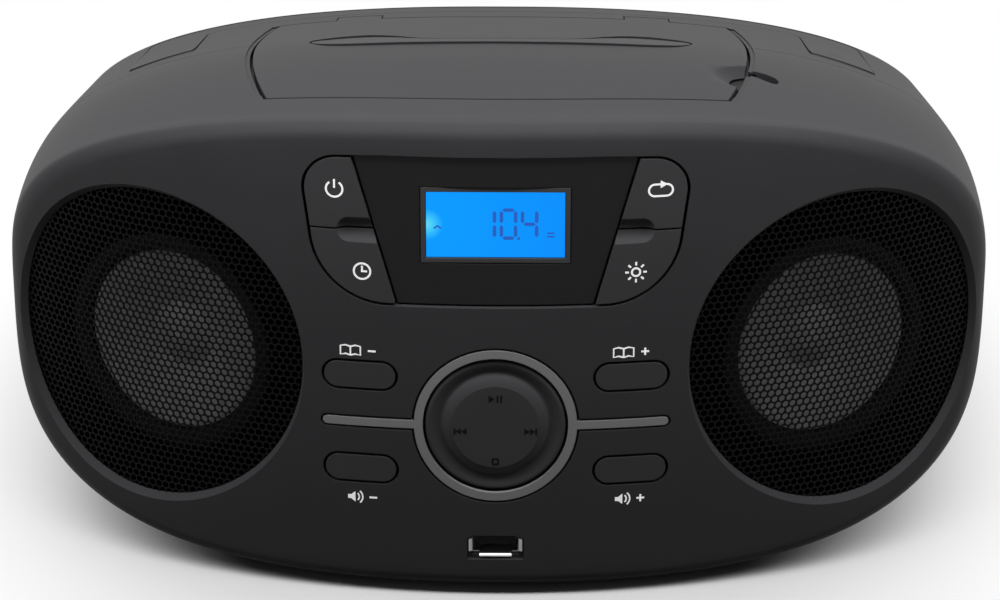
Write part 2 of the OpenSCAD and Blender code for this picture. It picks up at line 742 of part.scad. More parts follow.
module spindle_hub() color([0.85, 0.85, 0.83]) on_deck() rotate_extrude() polygon([
    [0, -plate_top - plate_t - motor_h + 4], [shaft_r, -plate_top - plate_t - motor_h + 4],
    [shaft_r, table_low], [table_r, table_low], [table_r, table_top], [hub_r, table_top],
    [hub_r, hub_edge], [hub_r + hub_edge - hub_top, hub_top], [0, hub_top]]);
module rack_teeth(count) for (k = [0:count - 1]) translate([0, k * tooth_pitch]) polygon([
    [0, -0.3 * tooth_pitch], [1.8 * tooth_module, -0.1 * tooth_pitch],
    [1.8 * tooth_module, 0.1 * tooth_pitch], [0, 0.3 * tooth_pitch]]);
module optical_pickup() color([0.16, 0.16, 0.18]) on_deck() difference() {
    union() {
        box([-block_half, block_half], [lens_d - block_l / 2, lens_d + block_l / 2],
            [block_low, block_top]);
        translate([0, 0, gear_z - 0.2]) linear_extrude(gear_h + 0.4) {
            translate([block_half - over, gear_y - pickup_run - 7])
                square([rack_t + over - tooth_module, pickup_run + 9]);
            translate([block_half + rack_t - tooth_module, gear_y - 15 * tooth_pitch])
                rack_teeth(16);
        }
    }
    for (side = [-1, 1]) translate([side * rod_x, lens_d - block_l, rod_z]) rotate([-90, 0, 0])
        cylinder(r = rod_r + pin_room, h = 2 * block_l);
    translate([0, lens_d, block_top - 2]) cylinder(r = lens_r + seat, h = 4);
}
lens_r = 3.4;
lens_up = 5;
module pickup_lens() color([0.45, 0.55, 0.75]) on_deck() translate([0, lens_d, block_top - 2 + seat])
    rotate_extrude() polygon([
        [0, 0], [lens_r, 0], [lens_r, lens_up], [lens_r - 0.8, lens_up + 0.3],
        [1.2, lens_up + 0.9], [0, lens_up + 1]]);
module guide_rods() color([0.8, 0.8, 0.82]) on_deck() for (side = [-1, 1])
    translate([side * rod_x, window_near - 2, rod_z]) rotate([-90, 0, 0])
        cylinder(r = rod_r, h = window_far - window_near + 4);
module sled_gear() color([0.9, 0.9, 0.88]) on_deck() translate([gear_x, gear_y, gear_z]) {
    linear_extrude(gear_h) {
        circle(gear_r - 1.2 * tooth_module);
        for (k = [0:gear_teeth - 1]) rotate(180 + 360 * (k + 0.5) / gear_teeth)
            translate([gear_r - 1.4 * tooth_module, 0]) polygon([
                [0, -0.26 * tooth_pitch], [2.1 * tooth_module, -0.1 * tooth_pitch],
                [2.1 * tooth_module, 0.1 * tooth_pitch], [0, 0.26 * tooth_pitch]]);
    }
    translate([0, 0, -sled_motor_h / 2 - over]) cylinder(r = shaft_r, h = sled_motor_h / 2 + 2 * over);
}
module sled_motor() on_deck()
    translate([gear_x, gear_y, sled_top - sled_motor_h]) difference() {
        cylinder(r = sled_motor_r, h = sled_motor_h);
        translate([0, 0, 3]) cylinder(r = shaft_r + pin_room, h = sled_motor_h);
    }

// Carrying handle
module handle() color([0.13, 0.13, 0.14]) difference() {
    union() {
        intersection() {
            shell(0, handle_t);
            plan(face_top / 2, face_top + over) handle_plan(0);
            grip_turn(0);
        }
        intersection() {
            skin(0);
            nose(0);
        }
    }
    both() translate([arm_in - over, back_of(arm_d), arm_z]) rotate([0, 90, 0])
        cylinder(r = pivot_r + pin_room, h = pivot_grip + over + seat);
}
module handle_pivot_pins() color([0.75, 0.75, 0.77]) both()
    translate([arm_in - pivot_seat, back_of(arm_d), arm_z]) rotate([0, 90, 0])
        cylinder(r = pivot_r, h = pivot_seat + pivot_grip);

// Speakers, each in the frame of its axis
grille_in = 2;
grille_t = 1;
frame_t = 2;
basket_low = 18;
basket_r = 20;
cone_low = 9;
coil_r = 6.2;
pole_r = 5.6;
gap_r = 6.9;
magnet_r = 21;
frame_top = -baffle_in - baffle_t - seat;
magnet_top = frame_top - basket_low - 2;
magnet_low = frame_top - driver_depth;
module face_sheet(near, far) on_face() linear_extrude(face_top) for (side = [-1, 1]) union() {
    intersection() {
        translate([0, face_mid_r]) difference() {
            circle(face_mid_r - near);
            circle(face_mid_r - far);
        }
        polygon([[0, face_mid_r], [0, -face_mid_r],
            [side * 2 * face_mid_r * sin(mid_yaw), face_mid_r * (1 - 2 * cos(mid_yaw))]]);
    }
    intersection() {
        translate([side * end_x, end_y]) difference() {
            circle(face_end_r - near);
            circle(face_end_r - far);
        }
        polygon([[0, face_mid_r],
            [side * 2 * face_mid_r * sin(mid_yaw), face_mid_r * (1 - 2 * cos(mid_yaw))],
            [side * 2 * face_mid_r, face_mid_r]]);
    }
}
grille_r = speaker_half - seat;
grille_rows = floor(grille_r / (grille_pitch * sin(60)));
module grille_holes() for (row = [-grille_rows:grille_rows], k = [-grille_rows:grille_rows]) {
    x = grille_pitch * (k + (row % 2 == 0 ? 0 : 0.5));
    y = grille_pitch * sin(60) * row;
    if (norm([x, y]) < grille_r - grille_pitch * 0.75) translate([x, y]) rotate(30)
        circle((grille_pitch - grille_bar) / sqrt(3), $fn = 6);
}
module grille(side) difference() {
    intersection() {
        face_sheet(grille_in, grille_in + grille_t);
        on_speaker(side) cylinder(r = grille_r, h = 40, center = true);
    }
    on_speaker(side) linear_extrude(50, center = true) grille_holes();
}
module speaker_frame(side) on_driver(side) {
    difference() {
        rotate_extrude() polygon([
            [driver_open, frame_top], [driver_d / 2, frame_top],
            [driver_d / 2, frame_top - frame_t], [screw_ring - 2.4, frame_top - frame_t],
            [basket_r, frame_top - basket_low], [basket_r, magnet_top], [gap_r, magnet_top],
            [gap_r, magnet_top + 1.4], [basket_r - 1.5, magnet_top + 1.4],
            [driver_open - 1, frame_top - frame_t - 0.5], [driver_open, frame_top - frame_t]]);
        for (k = [0:5]) rotate(60 * k + 30) translate([basket_r + 5, -5, magnet_top + 4])
            cube([20, 10, basket_low - frame_t - 3]);
        each_screw() cylinder(r = 1.6, h = 60, center = true);
    }
}
module speaker_magnet(side) on_driver(side) rotate_extrude() polygon([
    [0, magnet_low], [magnet_r - 2, magnet_low], [magnet_r - 2, magnet_low + 3],
    [magnet_r, magnet_low + 3], [magnet_r, magnet_top - seat], [gap_r, magnet_top - seat],
    [gap_r, magnet_low + 3], [pole_r, magnet_low + 3], [pole_r, magnet_top + 1], [0, magnet_top + 1]]);
module speaker_cone(side) on_driver(side) rotate_extrude() polygon([
    [cone_d / 2, frame_top - 1], [cone_d / 2, frame_top - 1.8],
    [coil_r + 0.2, frame_top - cone_low - 1], [coil_r + 0.2, magnet_low + 7],
    [coil_r - 0.2, magnet_low + 7], [coil_r - 0.2, frame_top - cone_low + 1],
    [0, frame_top - cone_low + 4.5], [0, frame_top - cone_low + 5.3],
    [5, frame_top - cone_low + 4.2], [9.5, frame_top - cone_low + 2.6],
    [cone_d / 2 - 1, frame_top - 0.8]]);
module speaker_surround(side) on_driver(side) rotate_extrude() difference() {
    translate([(driver_open + cone_d / 2) / 2, frame_top - 1.4])
        circle((driver_open - cone_d / 2) / 2 - 0.3);
    translate([(driver_open + cone_d / 2) / 2, frame_top - 1.4])
        circle((driver_open - cone_d / 2) / 2 - 1.1);
    translate([0, frame_top - 1.4 - driver_open]) square(driver_open);
}
screw_ring = (driver_open + driver_d / 2) / 2;
module each_screw() for (k = [0:3]) rotate(90 * k + 45) translate([screw_ring, 0]) children();
module speaker_screws() color([0.6, 0.6, 0.62]) for (side = [-1, 1]) on_driver(side) each_screw() {
    translate([0, 0, frame_top - frame_t - 1.7]) cylinder(r = 2.1, h = 1.6);
    translate([0, 0, frame_top - frame_t - 0.2]) cylinder(r = 1.3, h = frame_t + 1.8);
}
module left_grille() color([0.06, 0.06, 0.06]) grille(-1);
module right_grille() color([0.06, 0.06, 0.06]) grille(1);
module left_speaker_frame() color([0.15, 0.15, 0.16]) speaker_frame(-1);
module right_speaker_frame() color([0.15, 0.15, 0.16]) speaker_frame(1);
module left_speaker_cone() color([0.45, 0.45, 0.45]) speaker_cone(-1);
module right_speaker_cone() color([0.45, 0.45, 0.45]) speaker_cone(1);
module speaker_surrounds() color([0.08, 0.08, 0.08]) for (side = [-1, 1]) speaker_surround(side);
module speaker_magnets() color([0.25, 0.25, 0.27]) for (side = [-1, 1]) speaker_magnet(side);

// Display panel: window, display and the four keys round it
glass_in = 2.6;
frame_in = 2;
module panel_space() offset(-key_gap) panel_outline();
module display_window() color([0.03, 0.03, 0.035]) difference() {
    intersection() {
        face_band(window_in, window_in + window_t);
        into_face(0, board_in) intersection() {
            panel_space();
            window_outline(-key_gap / 2);
        }
    }
    into_face(-over, board_in) lcd_outline(lcd_rim + seat);
}
module lcd_outline(grow) translate([0, lcd_z])
    square([lcd_w + 2 * grow, lcd_h + 2 * grow], center = true);
module lcd_frame() color([0.02, 0.02, 0.02]) difference() {
    into_face(frame_in, frame_in + lcd_t) lcd_outline(lcd_rim);
    into_face(0, glass_in) lcd_outline(0);
    into_face(0, glass_in + 1.2) lcd_outline(0.6);
    into_face(0, board_in) lcd_outline(-2);
}
module lcd_glass() color([0.05, 0.45, 0.95]) into_face(glass_in, glass_in + 1.2 - seat)
    lcd_outline(0.6 - seat);
module lcd_backlight() color([0.92, 0.92, 0.9]) {
    into_face(frame_in + lcd_t + seat, board_in - seat) lcd_outline(0.5);
    into_face(glass_in + 1.4, frame_in + lcd_t + 2 * seat) lcd_outline(-2 - seat);
}
module key_body(side, low, high) difference() {
    intersection() {
        face_band(0, key_t);
        into_face(-over, board_in) difference() {
            intersection() {
                panel_space();
                translate([side < 0 ? -panel_half : 0, low]) square([panel_half, high - low]);
            }
            window_outline(key_gap / 2);
        }
    }
    key_scoop(side);
}
// Finger scoop where the two keys of a side meet
scoop_in = 2.4;
scoop_r = 4;
module key_scoop(side) intersection() {
    into_face(-over, board_in) translate([side * scoop_x, split_z]) stadium(scoop_w, scoop_h);
    on_face() translate([side * scoop_x - scoop_w, bow(scoop_x) + scoop_in - scoop_r, split_z])
        rotate([0, 90, 0]) cylinder(r = scoop_r, h = 2 * scoop_w);
}
key_x = 44;
key_zs = [split_z - 9, split_z + 9];
module stem(x, z) into_face(bow(x) + key_t - over, board_in - switch_t - key_travel - 0.3)
    translate([x, z]) circle(stem_r);
module upper_key(side) {
    key_body(side, split_z + key_gap / 2, panel_top + over);
    stem(side * key_x, key_zs[1]);
}
module lower_key(side) {
    key_body(side, panel_low - over, split_z - key_gap / 2);
    stem(side * (key_x - 5), key_zs[0]);
}
module power_key() color([0.13, 0.13, 0.14]) upper_key(-1);
module clock_key() color([0.13, 0.13, 0.14]) lower_key(-1);
module mode_key() color([0.13, 0.13, 0.14]) upper_key(1);
module lamp_key() color([0.13, 0.13, 0.14]) lower_key(1);
module pill(side, row) color([0.13, 0.13, 0.14]) {
    intersection() {
        face_band(-0.3, key_t);
        into_face(-over, board_in) pill_place(side, row) stadium(pill_w, pill_h);
    }
    stem(side * pill_x, pad_z + row * pill_rise);
}
module folder_down_button() pill(-1, 1);
module folder_up_button() pill(1, 1);
module volume_down_button() pill(-1, -1);
module volume_up_button() pill(1, -1);
module trim_ring() color([0.4, 0.4, 0.41]) intersection() {
    face_band(-trim_out, trim_in - seat);
    into_face(-3 * over, board_in) difference() {
        trim_outline(0);
        translate([0, pad_z]) circle(pad_r + run);
    }
}

// Four-way pad on a hub with crossed pins
ball_in = 8;
ball_r = 3;
pad_pin = 13;
pad_edge = pad_r - 0.3;
module on_pad() on_face() translate([0, 0, pad_z]) rotate([90, 0, 0]) children();
module four_way_pad() color([0.13, 0.13, 0.14]) on_pad() {
    rotate_extrude() polygon([
        [0, -3.4], [pad_edge, -3.4], [pad_edge, -0.9], [pad_edge - 1, -0.6],
        [pad_edge - 3, -1.2], [15.4, -1.4], [15.2, -0.2], [14.4, 0.7], [13.2, 0.8],
        [12.2, 0.2], [12, -0.2], [0, -0.2]]);
    difference() {
        rotate_extrude() translate([ball_r + run, -ball_in]) square([cross_half - ball_r, ball_in - 3]);
        cross_pin(90, cross_r + pin_room, cross_half + over);
        cross_pin(0, cross_r + run, cross_half + over);
    }
    for (k = [0:3]) rotate(90 * k) translate([pad_pin, 0, -board_in + switch_t + over])
        cylinder(r = 1.5, h = board_in - switch_t - over - 3);
}
// The hub turns on its level pin in the post, and the pad turns on the upright pin
cross_r = 1;
cross_half = 5;
module cross_pin(turn, r, half = cross_half) translate([0, 0, -ball_in]) rotate(turn)
    rotate([0, 90, 0]) cylinder(r = r, h = 2 * half, center = true);
module pad_hub() color([0.3, 0.3, 0.32]) on_pad() {
    translate([0, 0, -ball_in]) sphere(ball_r);
    cross_pin(0, cross_r);
    cross_pin(90, cross_r);
}
post_top = -ball_in - 0.4;
module pad_post() color([0.3, 0.3, 0.32]) on_pad() difference() {
    box([-cross_half, cross_half], [-ball_r / 2, ball_r / 2], [-board_in, post_top]);
    translate([0, 0, -ball_in]) sphere(ball_r + run);
    cross_pin(0, cross_r + pin_room);
}

// Boards behind the face
switch_points = concat(
    [for (side = [-1, 1]) [side * key_x, key_zs[1]]],
    [for (side = [-1, 1]) [side * (key_x - 5), key_zs[0]]],
    [for (side = [-1, 1], row = [-1, 1]) [side * pill_x, pad_z + row * pill_rise]],
    [for (k = [0:3]) [pad_pin * cos(90 * k), pad_z + pad_pin * sin(90 * k)]]);
module control_board() color([0.1, 0.35, 0.15]) difference() {
    into_face(board_in, board_in + board_t) translate([-board_half, board_low])
        square([2 * board_half, board_top - board_low]);
    for (p = board_posts) into_face(0, 2 * board_in) translate(p) circle(1.3);
}
module key_switches() color([0.2, 0.2, 0.2]) for (p = switch_points) {
    into_face(board_in - switch_t + 1, board_in) translate(p) square(switch_w, center = true);
    into_face(board_in - switch_t, board_in - switch_t + 1.5) translate(p) circle(1.7);
}
module board_screws() color([0.6, 0.6, 0.62]) {
    for (p = board_posts) {
        into_face(board_in + board_t, board_in + board_t + 1.8) translate(p) circle(2.6);
        into_face(board_in - post_screw_l, board_in + board_t + over) translate(p) circle(1.1);
    }
    for (x = [-main_hole, main_hole], d = board_ds) translate([x, back_of(d), main_z]) {
        translate([0, 0, board_t]) cylinder(r = 2.6, h = 1.8);
        translate([0, 0, -main_screw_l]) cylinder(r = 1.1, h = main_screw_l + board_t + over);
    }
}
module usb_rim(w, h) translate([0, usb_z]) square([w, h], center = true);
module usb_shell() color([0.78, 0.78, 0.8]) {
    difference() {
        union() {
            into_face(0, usb_depth) usb_rim(usb_w, usb_h);
            into_face(0, 0.5) usb_rim(usb_lip_w, usb_lip_h);
        }
        into_face(-over, usb_depth - usb_sheet) usb_rim(usb_w - 2 * usb_sheet, usb_h - 2 * usb_sheet);
    }
}
module usb_tongue() color([0.95, 0.95, 0.95]) into_face(1.5, usb_depth - usb_sheet)
    translate([-5.6, usb_z + 0.6]) square([11.2, 1.8]);
usb_board_w = 30;
usb_board_h = 12;
module usb_board() color([0.1, 0.35, 0.15]) into_face(usb_depth, usb_depth + board_t)
    usb_rim(usb_board_w, usb_board_h);

// Main board, power and sockets at the back
module main_board() color([0.1, 0.35, 0.15]) difference() {
    box([-main_half, main_half], [back_of(main_d[0]), back_of(main_d[1])], [main_z, main_z + board_t]);
    for (x = [-main_hole, main_hole], d = board_ds) translate([x, back_of(d), main_z - over])
        cylinder(r = 1.3, h = 4);
}
chip_w = 24;
chip_t = 2.4;
driver_chip = [14, 10, 2];
can_r = 4.5;
can_h = 12;
can_step = 11;
film_r = 3.5;
film_h = 9;
film_step = 9;
sink_w = 30;
sink_h = 26;
sink_t = 3;
fin_l = 12;
fin_t = 2;
fin_count = 6;
module board_parts() color([0.12, 0.12, 0.13]) translate([0, 0, main_z + board_t]) {
    translate([0, back_of(main_mid), chip_t / 2]) cube([chip_w, chip_w, chip_t], center = true);
    translate([chip_w + driver_chip.x / 2, back_of(main_mid) - driver_chip.y, 0]) cube(driver_chip);
    for (k = [0:3]) translate([-2 * chip_w + can_step * k, back_of(main_d[0]) + 2 * can_r])
        cylinder(r = can_r, h = can_h + fin_t * (k % 2));
    for (k = [0:2]) translate([chip_w + film_step * (k + 1), back_of(main_d[1]) - 4 * film_r])
        cylinder(r = film_r, h = film_h);
    translate([-main_half + chip_w / 2, back_of(main_mid) + sink_t, 0]) linear_extrude(sink_h) {
        square([sink_w, sink_t]);
        for (k = [0:fin_count - 1]) translate([(sink_w - fin_t) / (fin_count - 1) * k, 0])
            square([fin_t, fin_l]);
    }
}
core_w = 34;
core_l = 22;
core_h = 29;
coil_w = 22;
coil_l = 34;
coil_h = 19;
module transformer() color([0.35, 0.35, 0.38]) translate([trafo_x, back_of(trafo_d), trafo_z]) {
    translate([0, 0, core_h / 2]) cube([core_w, core_l, core_h], center = true);
    translate([0, 0, core_h / 2]) cube([coil_w, coil_l, coil_h], center = true);
}
inlet_depth = 18;
inlet_pin = 4.3;
module inlet_shape(grow, near, far) translate([inlet_x, back_y - near, inlet_z]) rotate([90, 0, 0])
    linear_extrude(far - near) stadium(inlet_w + 2 * grow, inlet_h + 2 * grow);
module ac_inlet() color([0.05, 0.05, 0.05]) {
    difference() {
        inlet_shape(0, 0, inlet_depth);
        inlet_shape(-2.2, -over, inlet_depth - 3);
    }
    for (side = [-1, 1]) translate([inlet_x + side * inlet_pin, back_y - 4, inlet_z]) rotate([90, 0, 0])
        cylinder(r = 1.2, h = inlet_depth);
}
jack_core = 2 * (jack_body - wall - seat);
jack_nose = 2.7;
jack_l = 15;
module jack_socket() color([0.06, 0.06, 0.06]) difference() {
    union() {
        translate([jack_x, back_y, jack_z]) rotate([90, 0, 0]) cylinder(r = 4, h = jack_nose + over);
        translate([jack_x, back_y - jack_nose - jack_l / 2 + seat, jack_z])
            cube([jack_core, jack_l, jack_core], center = true);
    }
    translate([jack_x, back_y + over, jack_z]) rotate([90, 0, 0]) cylinder(r = jack_r, h = jack_l + over);
}
module battery_door() color([0.12, 0.12, 0.13]) {
    box([-bay_half + run, bay_half - run], [back_y - door_t, back_y], [door_axis_z, bay_low + bay_h - run]);
    translate([-bay_half + run, back_y - door_t / 2, door_axis_z]) rotate([0, 90, 0])
        cylinder(r = door_t / 2, h = 2 * (bay_half - run));
    translate([-bay_half - 2, back_y - door_t / 2, door_axis_z]) rotate([0, 90, 0])
        cylinder(r = door_pin_r, h = 2 * (bay_half + 2));
}
contact_r = 6;
contact_t = 0.6;
contact_l = 4;
module battery_contacts() color([0.8, 0.78, 0.72]) both() for (share = [0.25, 0.75])
    translate([bay_half, back_of(bay_front) + bay_d / 2, bay_low + share * bay_h]) rotate([0, -90, 0]) {
        cylinder(r = contact_r, h = contact_t);
        cylinder(r1 = 0.75 * contact_r, r2 = contact_r / 2.4, h = contact_l);
    }
module rubber_feet() color([0.05, 0.05, 0.05]) both() for (d = foot_d)
    translate([foot_x, back_of(d), 0]) {
        cylinder(r = foot_r, h = base_gap);
        cylinder(r = peg_r, h = base_gap + peg_l);
    }
module cabinet_screws() color([0.5, 0.5, 0.52]) both() for (z = post_z)
    translate([post_x, back_of(screw_seat), z]) rotate([90, 0, 0]) {
        translate([0, 0, -screw_head_t]) cylinder(r = screw_head_r, h = screw_head_t);
        cylinder(r = screw_r, h = screw_l);
    }

// Aerial on the shelf at the back
fork_t = 1.4;
fork_w = 3.4;
eye_half = 2.6;
eye_r = 3.4;
fork_pin_r = 1.2;
tube_t = 0.5;
mast_start = 6;
tip_l = 8;
module on_aerial() translate([aerial_x, back_of(aerial_d), aerial_z]) children();
module along_mast(from) on_aerial() translate([-from, 0, 0]) rotate([0, -90, 0]) children();
module aerial_base() color([0.7, 0.7, 0.72]) on_aerial() {
    translate([0, 0, shelf_z - aerial_z + seat / 2]) cylinder(r = 4.4, h = 2);
    translate([0, 0, shelf_z - aerial_z - 5]) cylinder(r = 2, h = 6);
    for (side = [-1, 1]) translate([0, side * (eye_half + 0.2 + fork_t / 2), -1])
        cube([fork_w, fork_t, 8.5], center = true);
    rotate([90, 0, 0]) cylinder(r = fork_pin_r, h = 2 * (eye_half + fork_t), center = true);
}
module tube(r, from, l) along_mast(from) difference() {
    cylinder(r = r, h = l);
    translate([0, 0, 3]) cylinder(r = r - tube_t, h = l);
}
module aerial_tube() color([0.8, 0.8, 0.82]) {
    tube(aerial_r, mast_start, aerial_l);
    on_aerial() difference() {
        union() {
            rotate([90, 0, 0]) cylinder(r = eye_r, h = 2 * eye_half, center = true);
            translate([-mast_start - over, 0, 0]) rotate([0, 90, 0]) cylinder(r = 2.2, h = mast_start);
        }
        rotate([90, 0, 0]) cylinder(r = fork_pin_r + pin_room, h = 10, center = true);
    }
}
mid_r = aerial_r - tube_t - pin_room;
thin_r = mid_r - tube_t - pin_room;
module aerial_middle() color([0.82, 0.82, 0.84]) tube(mid_r, mast_start + 5, aerial_l - 5 + 0.5);
module aerial_rod() color([0.84, 0.84, 0.86]) {
    along_mast(mast_start + 10) cylinder(r = thin_r, h = aerial_l - 8);
    along_mast(mast_start + aerial_l + 1.5) cylinder(r = aerial_r, h = tip_l);
}

front_cabinet();
rear_cabinet();
cd_deck();
cd_lid();
lid_hinge_pins();
mechanism_chassis();
mount_grommets();
drive_motors();
spindle_hub();
optical_pickup();
pickup_lens();
guide_rods();
sled_gear();
handle();
handle_pivot_pins();
left_grille();
right_grille();
left_speaker_frame();
right_speaker_frame();
left_speaker_cone();
right_speaker_cone();
speaker_surrounds();
speaker_magnets();
speaker_screws();
display_window();
lcd_frame();
lcd_glass();
lcd_backlight();
power_key();
clock_key();
mode_key();
lamp_key();
folder_down_button();
folder_up_button();
volume_down_button();
volume_up_button();
trim_ring();
four_way_pad();
pad_hub();
pad_post();
control_board();
key_switches();
board_screws();
usb_shell();
usb_tongue();
usb_board();
main_board();
board_parts();
transformer();
ac_inlet();
jack_socket();
battery_door();
battery_contacts();
rubber_feet();
cabinet_screws();
aerial_base();
aerial_tube();
aerial_middle();
aerial_rod();
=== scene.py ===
# %% [markdown]
# # A portable disc player, dressed in Blender
# The frame holds each part of the player as a plain solid on the body that it moves with.
# Here the parts get what the eye sees: smooth skins, fine speaker mesh, printed signs, light
# and finishes. Sizes of the pieces are in millimetres, and become metres when a mesh is made.

import bmesh
import bpy
import numpy as np
from math import asin, atan, cos, hypot, pi, radians, sin, sqrt, tan
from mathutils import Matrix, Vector


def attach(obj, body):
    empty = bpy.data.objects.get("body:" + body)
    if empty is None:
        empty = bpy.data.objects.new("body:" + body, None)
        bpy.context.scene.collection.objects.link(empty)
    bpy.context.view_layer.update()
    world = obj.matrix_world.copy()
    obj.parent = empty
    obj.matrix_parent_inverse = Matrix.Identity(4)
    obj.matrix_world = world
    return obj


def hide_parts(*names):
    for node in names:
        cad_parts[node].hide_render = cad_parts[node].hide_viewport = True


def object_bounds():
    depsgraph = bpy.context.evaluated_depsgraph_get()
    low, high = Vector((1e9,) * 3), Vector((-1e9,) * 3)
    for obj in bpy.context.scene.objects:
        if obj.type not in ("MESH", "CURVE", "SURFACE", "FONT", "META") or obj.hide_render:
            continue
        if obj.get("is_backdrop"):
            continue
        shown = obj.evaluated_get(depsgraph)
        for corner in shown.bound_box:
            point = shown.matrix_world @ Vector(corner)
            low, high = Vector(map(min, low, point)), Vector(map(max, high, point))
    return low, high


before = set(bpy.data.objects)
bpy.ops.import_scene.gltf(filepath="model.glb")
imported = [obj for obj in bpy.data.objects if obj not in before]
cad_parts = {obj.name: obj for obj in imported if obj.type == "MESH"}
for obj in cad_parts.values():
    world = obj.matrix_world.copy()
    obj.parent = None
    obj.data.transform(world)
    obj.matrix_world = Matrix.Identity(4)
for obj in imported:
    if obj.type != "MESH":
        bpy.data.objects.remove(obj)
cad_box = [list(corner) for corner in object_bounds()]
scene = bpy.context.scene
MM = 0.001
SIDES = (-1, 1)

# %% [markdown]
# ## Camera
# A product picture is taken from far off with a long lens, so that upright edges stay nearly
# upright. The camera is set by what it looks at, its distance, its rise and its turn, because these
# four are easier to fit to a picture than a bare position.

# %% Camera


def put(name, data):
    obj = bpy.data.objects.new(name, data)
    scene.collection.objects.link(obj)
    return obj


look_at = Vector((0, -9.18, 44.713)) * MM
camera_far = 1.09998
camera_rise = radians(24.561)
camera_turn = radians(0.716)
towards_camera = Vector((
    sin(camera_turn) * cos(camera_rise),
    -cos(camera_turn) * cos(camera_rise),
    sin(camera_rise)))
lens = bpy.data.cameras.new("picture_camera")
lens.sensor_fit = "HORIZONTAL"
lens.sensor_width = 36
lens.lens = 128.85
camera = put("picture_camera", lens)
camera.location = look_at + camera_far * towards_camera
camera.rotation_euler = (-towards_camera).to_track_quat("-Z", "Y").to_euler()
scene.camera = camera
print("camera at", [round(v, 3) for v in camera.location])

# %% [markdown]
# ## Light, floor and background
# Dark plastic shows its form by soft light from above: the top is pale, and the face falls off
# towards the table. A wide lamp overhead lights the top and leaves a soft shadow in front, and a
# slim strip close above the face gives its upper part more than its lower part. The world is white
# to the camera and to reflections, and the paper of the floor fades to that white away from the
# object, so no edge of it shows. The light that both throw back is kept low, so that the lower face
# stays dark.

# %% Lamps
scene.view_settings.view_transform = "Standard"


def soft_lamp(name, place, aim, size, power):
    light = bpy.data.lights.new(name, "AREA")
    light.shape = "RECTANGLE"
    light.size, light.size_y = size
    light.energy = power
    lamp = put(name, light)
    lamp.location = place
    lamp.rotation_euler = (Vector(aim) - Vector(place)).to_track_quat("-Z", "Y").to_euler()
    lamp.visible_camera = False


soft_lamp("lamp_overhead", (0.0, 0.12, 1.1), (0, 0.12, 0), (1.6, 1.0), 8.4)
soft_lamp("lamp_strip", (0.0, -0.17, 0.25), (0, -0.17, 0), (0.9, 0.06), 0.95)

# %% [markdown]
# ## Nodes
# The world, the floor and all finishes are made of nodes. A node has settings of its own and input
# sockets, and a socket takes either a value or a link from another node's output. Both could be set
# line by line. One short function does it in a single call instead, so that the cells below read as
# lists of the nodes that are there.

# %% Node helpers


def feed(tree, socket, value):
    if isinstance(value, bpy.types.NodeSocket):
        tree.links.new(value, socket)
    else:
        socket.default_value = value


def node(tree, kind, inputs=(), **settings):
    made = tree.nodes.new(kind)
    for name, value in settings.items():
        setattr(made, name, value)
    for name, value in dict(inputs).items():
        feed(tree, made.inputs[name], value)
    return made


def maths(tree, how, a, b):
    return node(tree, "ShaderNodeMath", {0: a, 1: b}, operation=how).outputs[0]


print("node helpers ready")

# %% World
WHITE, WORLD_DIM = (1, 1, 1, 1), 0.05


def by_sight(tree, unseen, seen, output):
    ray = node(tree, "ShaderNodeLightPath").outputs
    sight = maths(tree, "MAXIMUM", ray["Is Camera Ray"], ray["Is Glossy Ray"])
    sight = maths(tree, "MAXIMUM", sight, ray["Is Transmission Ray"])
    pick = node(tree, "ShaderNodeMixShader",
                {"Fac": sight, 1: unseen.outputs[0], 2: seen.outputs[0]})
    feed(tree, tree.nodes[output].inputs["Surface"], pick.outputs[0])


world = bpy.data.worlds.new("studio")
world.use_nodes = True
scene.world = world
tree = world.node_tree
white = tree.nodes["Background"]
feed(tree, white.inputs["Color"], WHITE)
feed(tree, white.inputs["Strength"], 1.0)
dim = node(tree, "ShaderNodeBackground", {"Color": WHITE, "Strength": WORLD_DIM})
by_sight(tree, dim, white, "World Output")
print("world", world.name, "with", len(tree.nodes), "nodes")

# %% Floor
FLOOR_HALF, PAPER_GREY, BOUNCE_GREY = 8, 0.80, 0.03
OVAL_X, OVAL_Y, FADE_FROM = 0.185, 0.29, 0.50
floor_mesh = bpy.data.meshes.new("floor")
floor_mesh.from_pydata([(FLOOR_HALF * a, FLOOR_HALF * b, 0)
                        for a, b in ((-1, -1), (1, -1), (1, 1), (-1, 1))], [], [(0, 1, 2, 3)])
floor = put("floor", floor_mesh)
floor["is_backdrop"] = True
floor_paper = bpy.data.materials.new("floor_paper")
floor_paper.use_nodes = True
tree = floor_paper.node_tree
tree.nodes.remove(tree.nodes["Principled BSDF"])
paper, bounce = (node(tree, "ShaderNodeBsdfDiffuse", {"Color": (grey, grey, grey, 1)})
                 for grey in (PAPER_GREY, BOUNCE_GREY))
glow = node(tree, "ShaderNodeEmission", {"Color": WHITE})
where = node(tree, "ShaderNodeTexCoord").outputs["Object"]
oval = node(tree, "ShaderNodeMapping", {"Vector": where, "Scale": (1 / OVAL_X, 1 / OVAL_Y, 1)})
far = node(tree, "ShaderNodeVectorMath", {0: oval.outputs[0]}, operation="LENGTH")
fade = node(tree, "ShaderNodeMapRange",
            {"Value": far.outputs["Value"], "From Min": FADE_FROM, "From Max": 1.0},
            interpolation_type="SMOOTHSTEP")
faded = node(tree, "ShaderNodeMixShader",
             {"Fac": fade.outputs[0], 1: paper.outputs[0], 2: glow.outputs[0]})
by_sight(tree, bounce, faded, "Material Output")
floor_mesh.materials.append(floor_paper)
print("floor", floor_paper.name, "with", len(tree.nodes), "nodes")

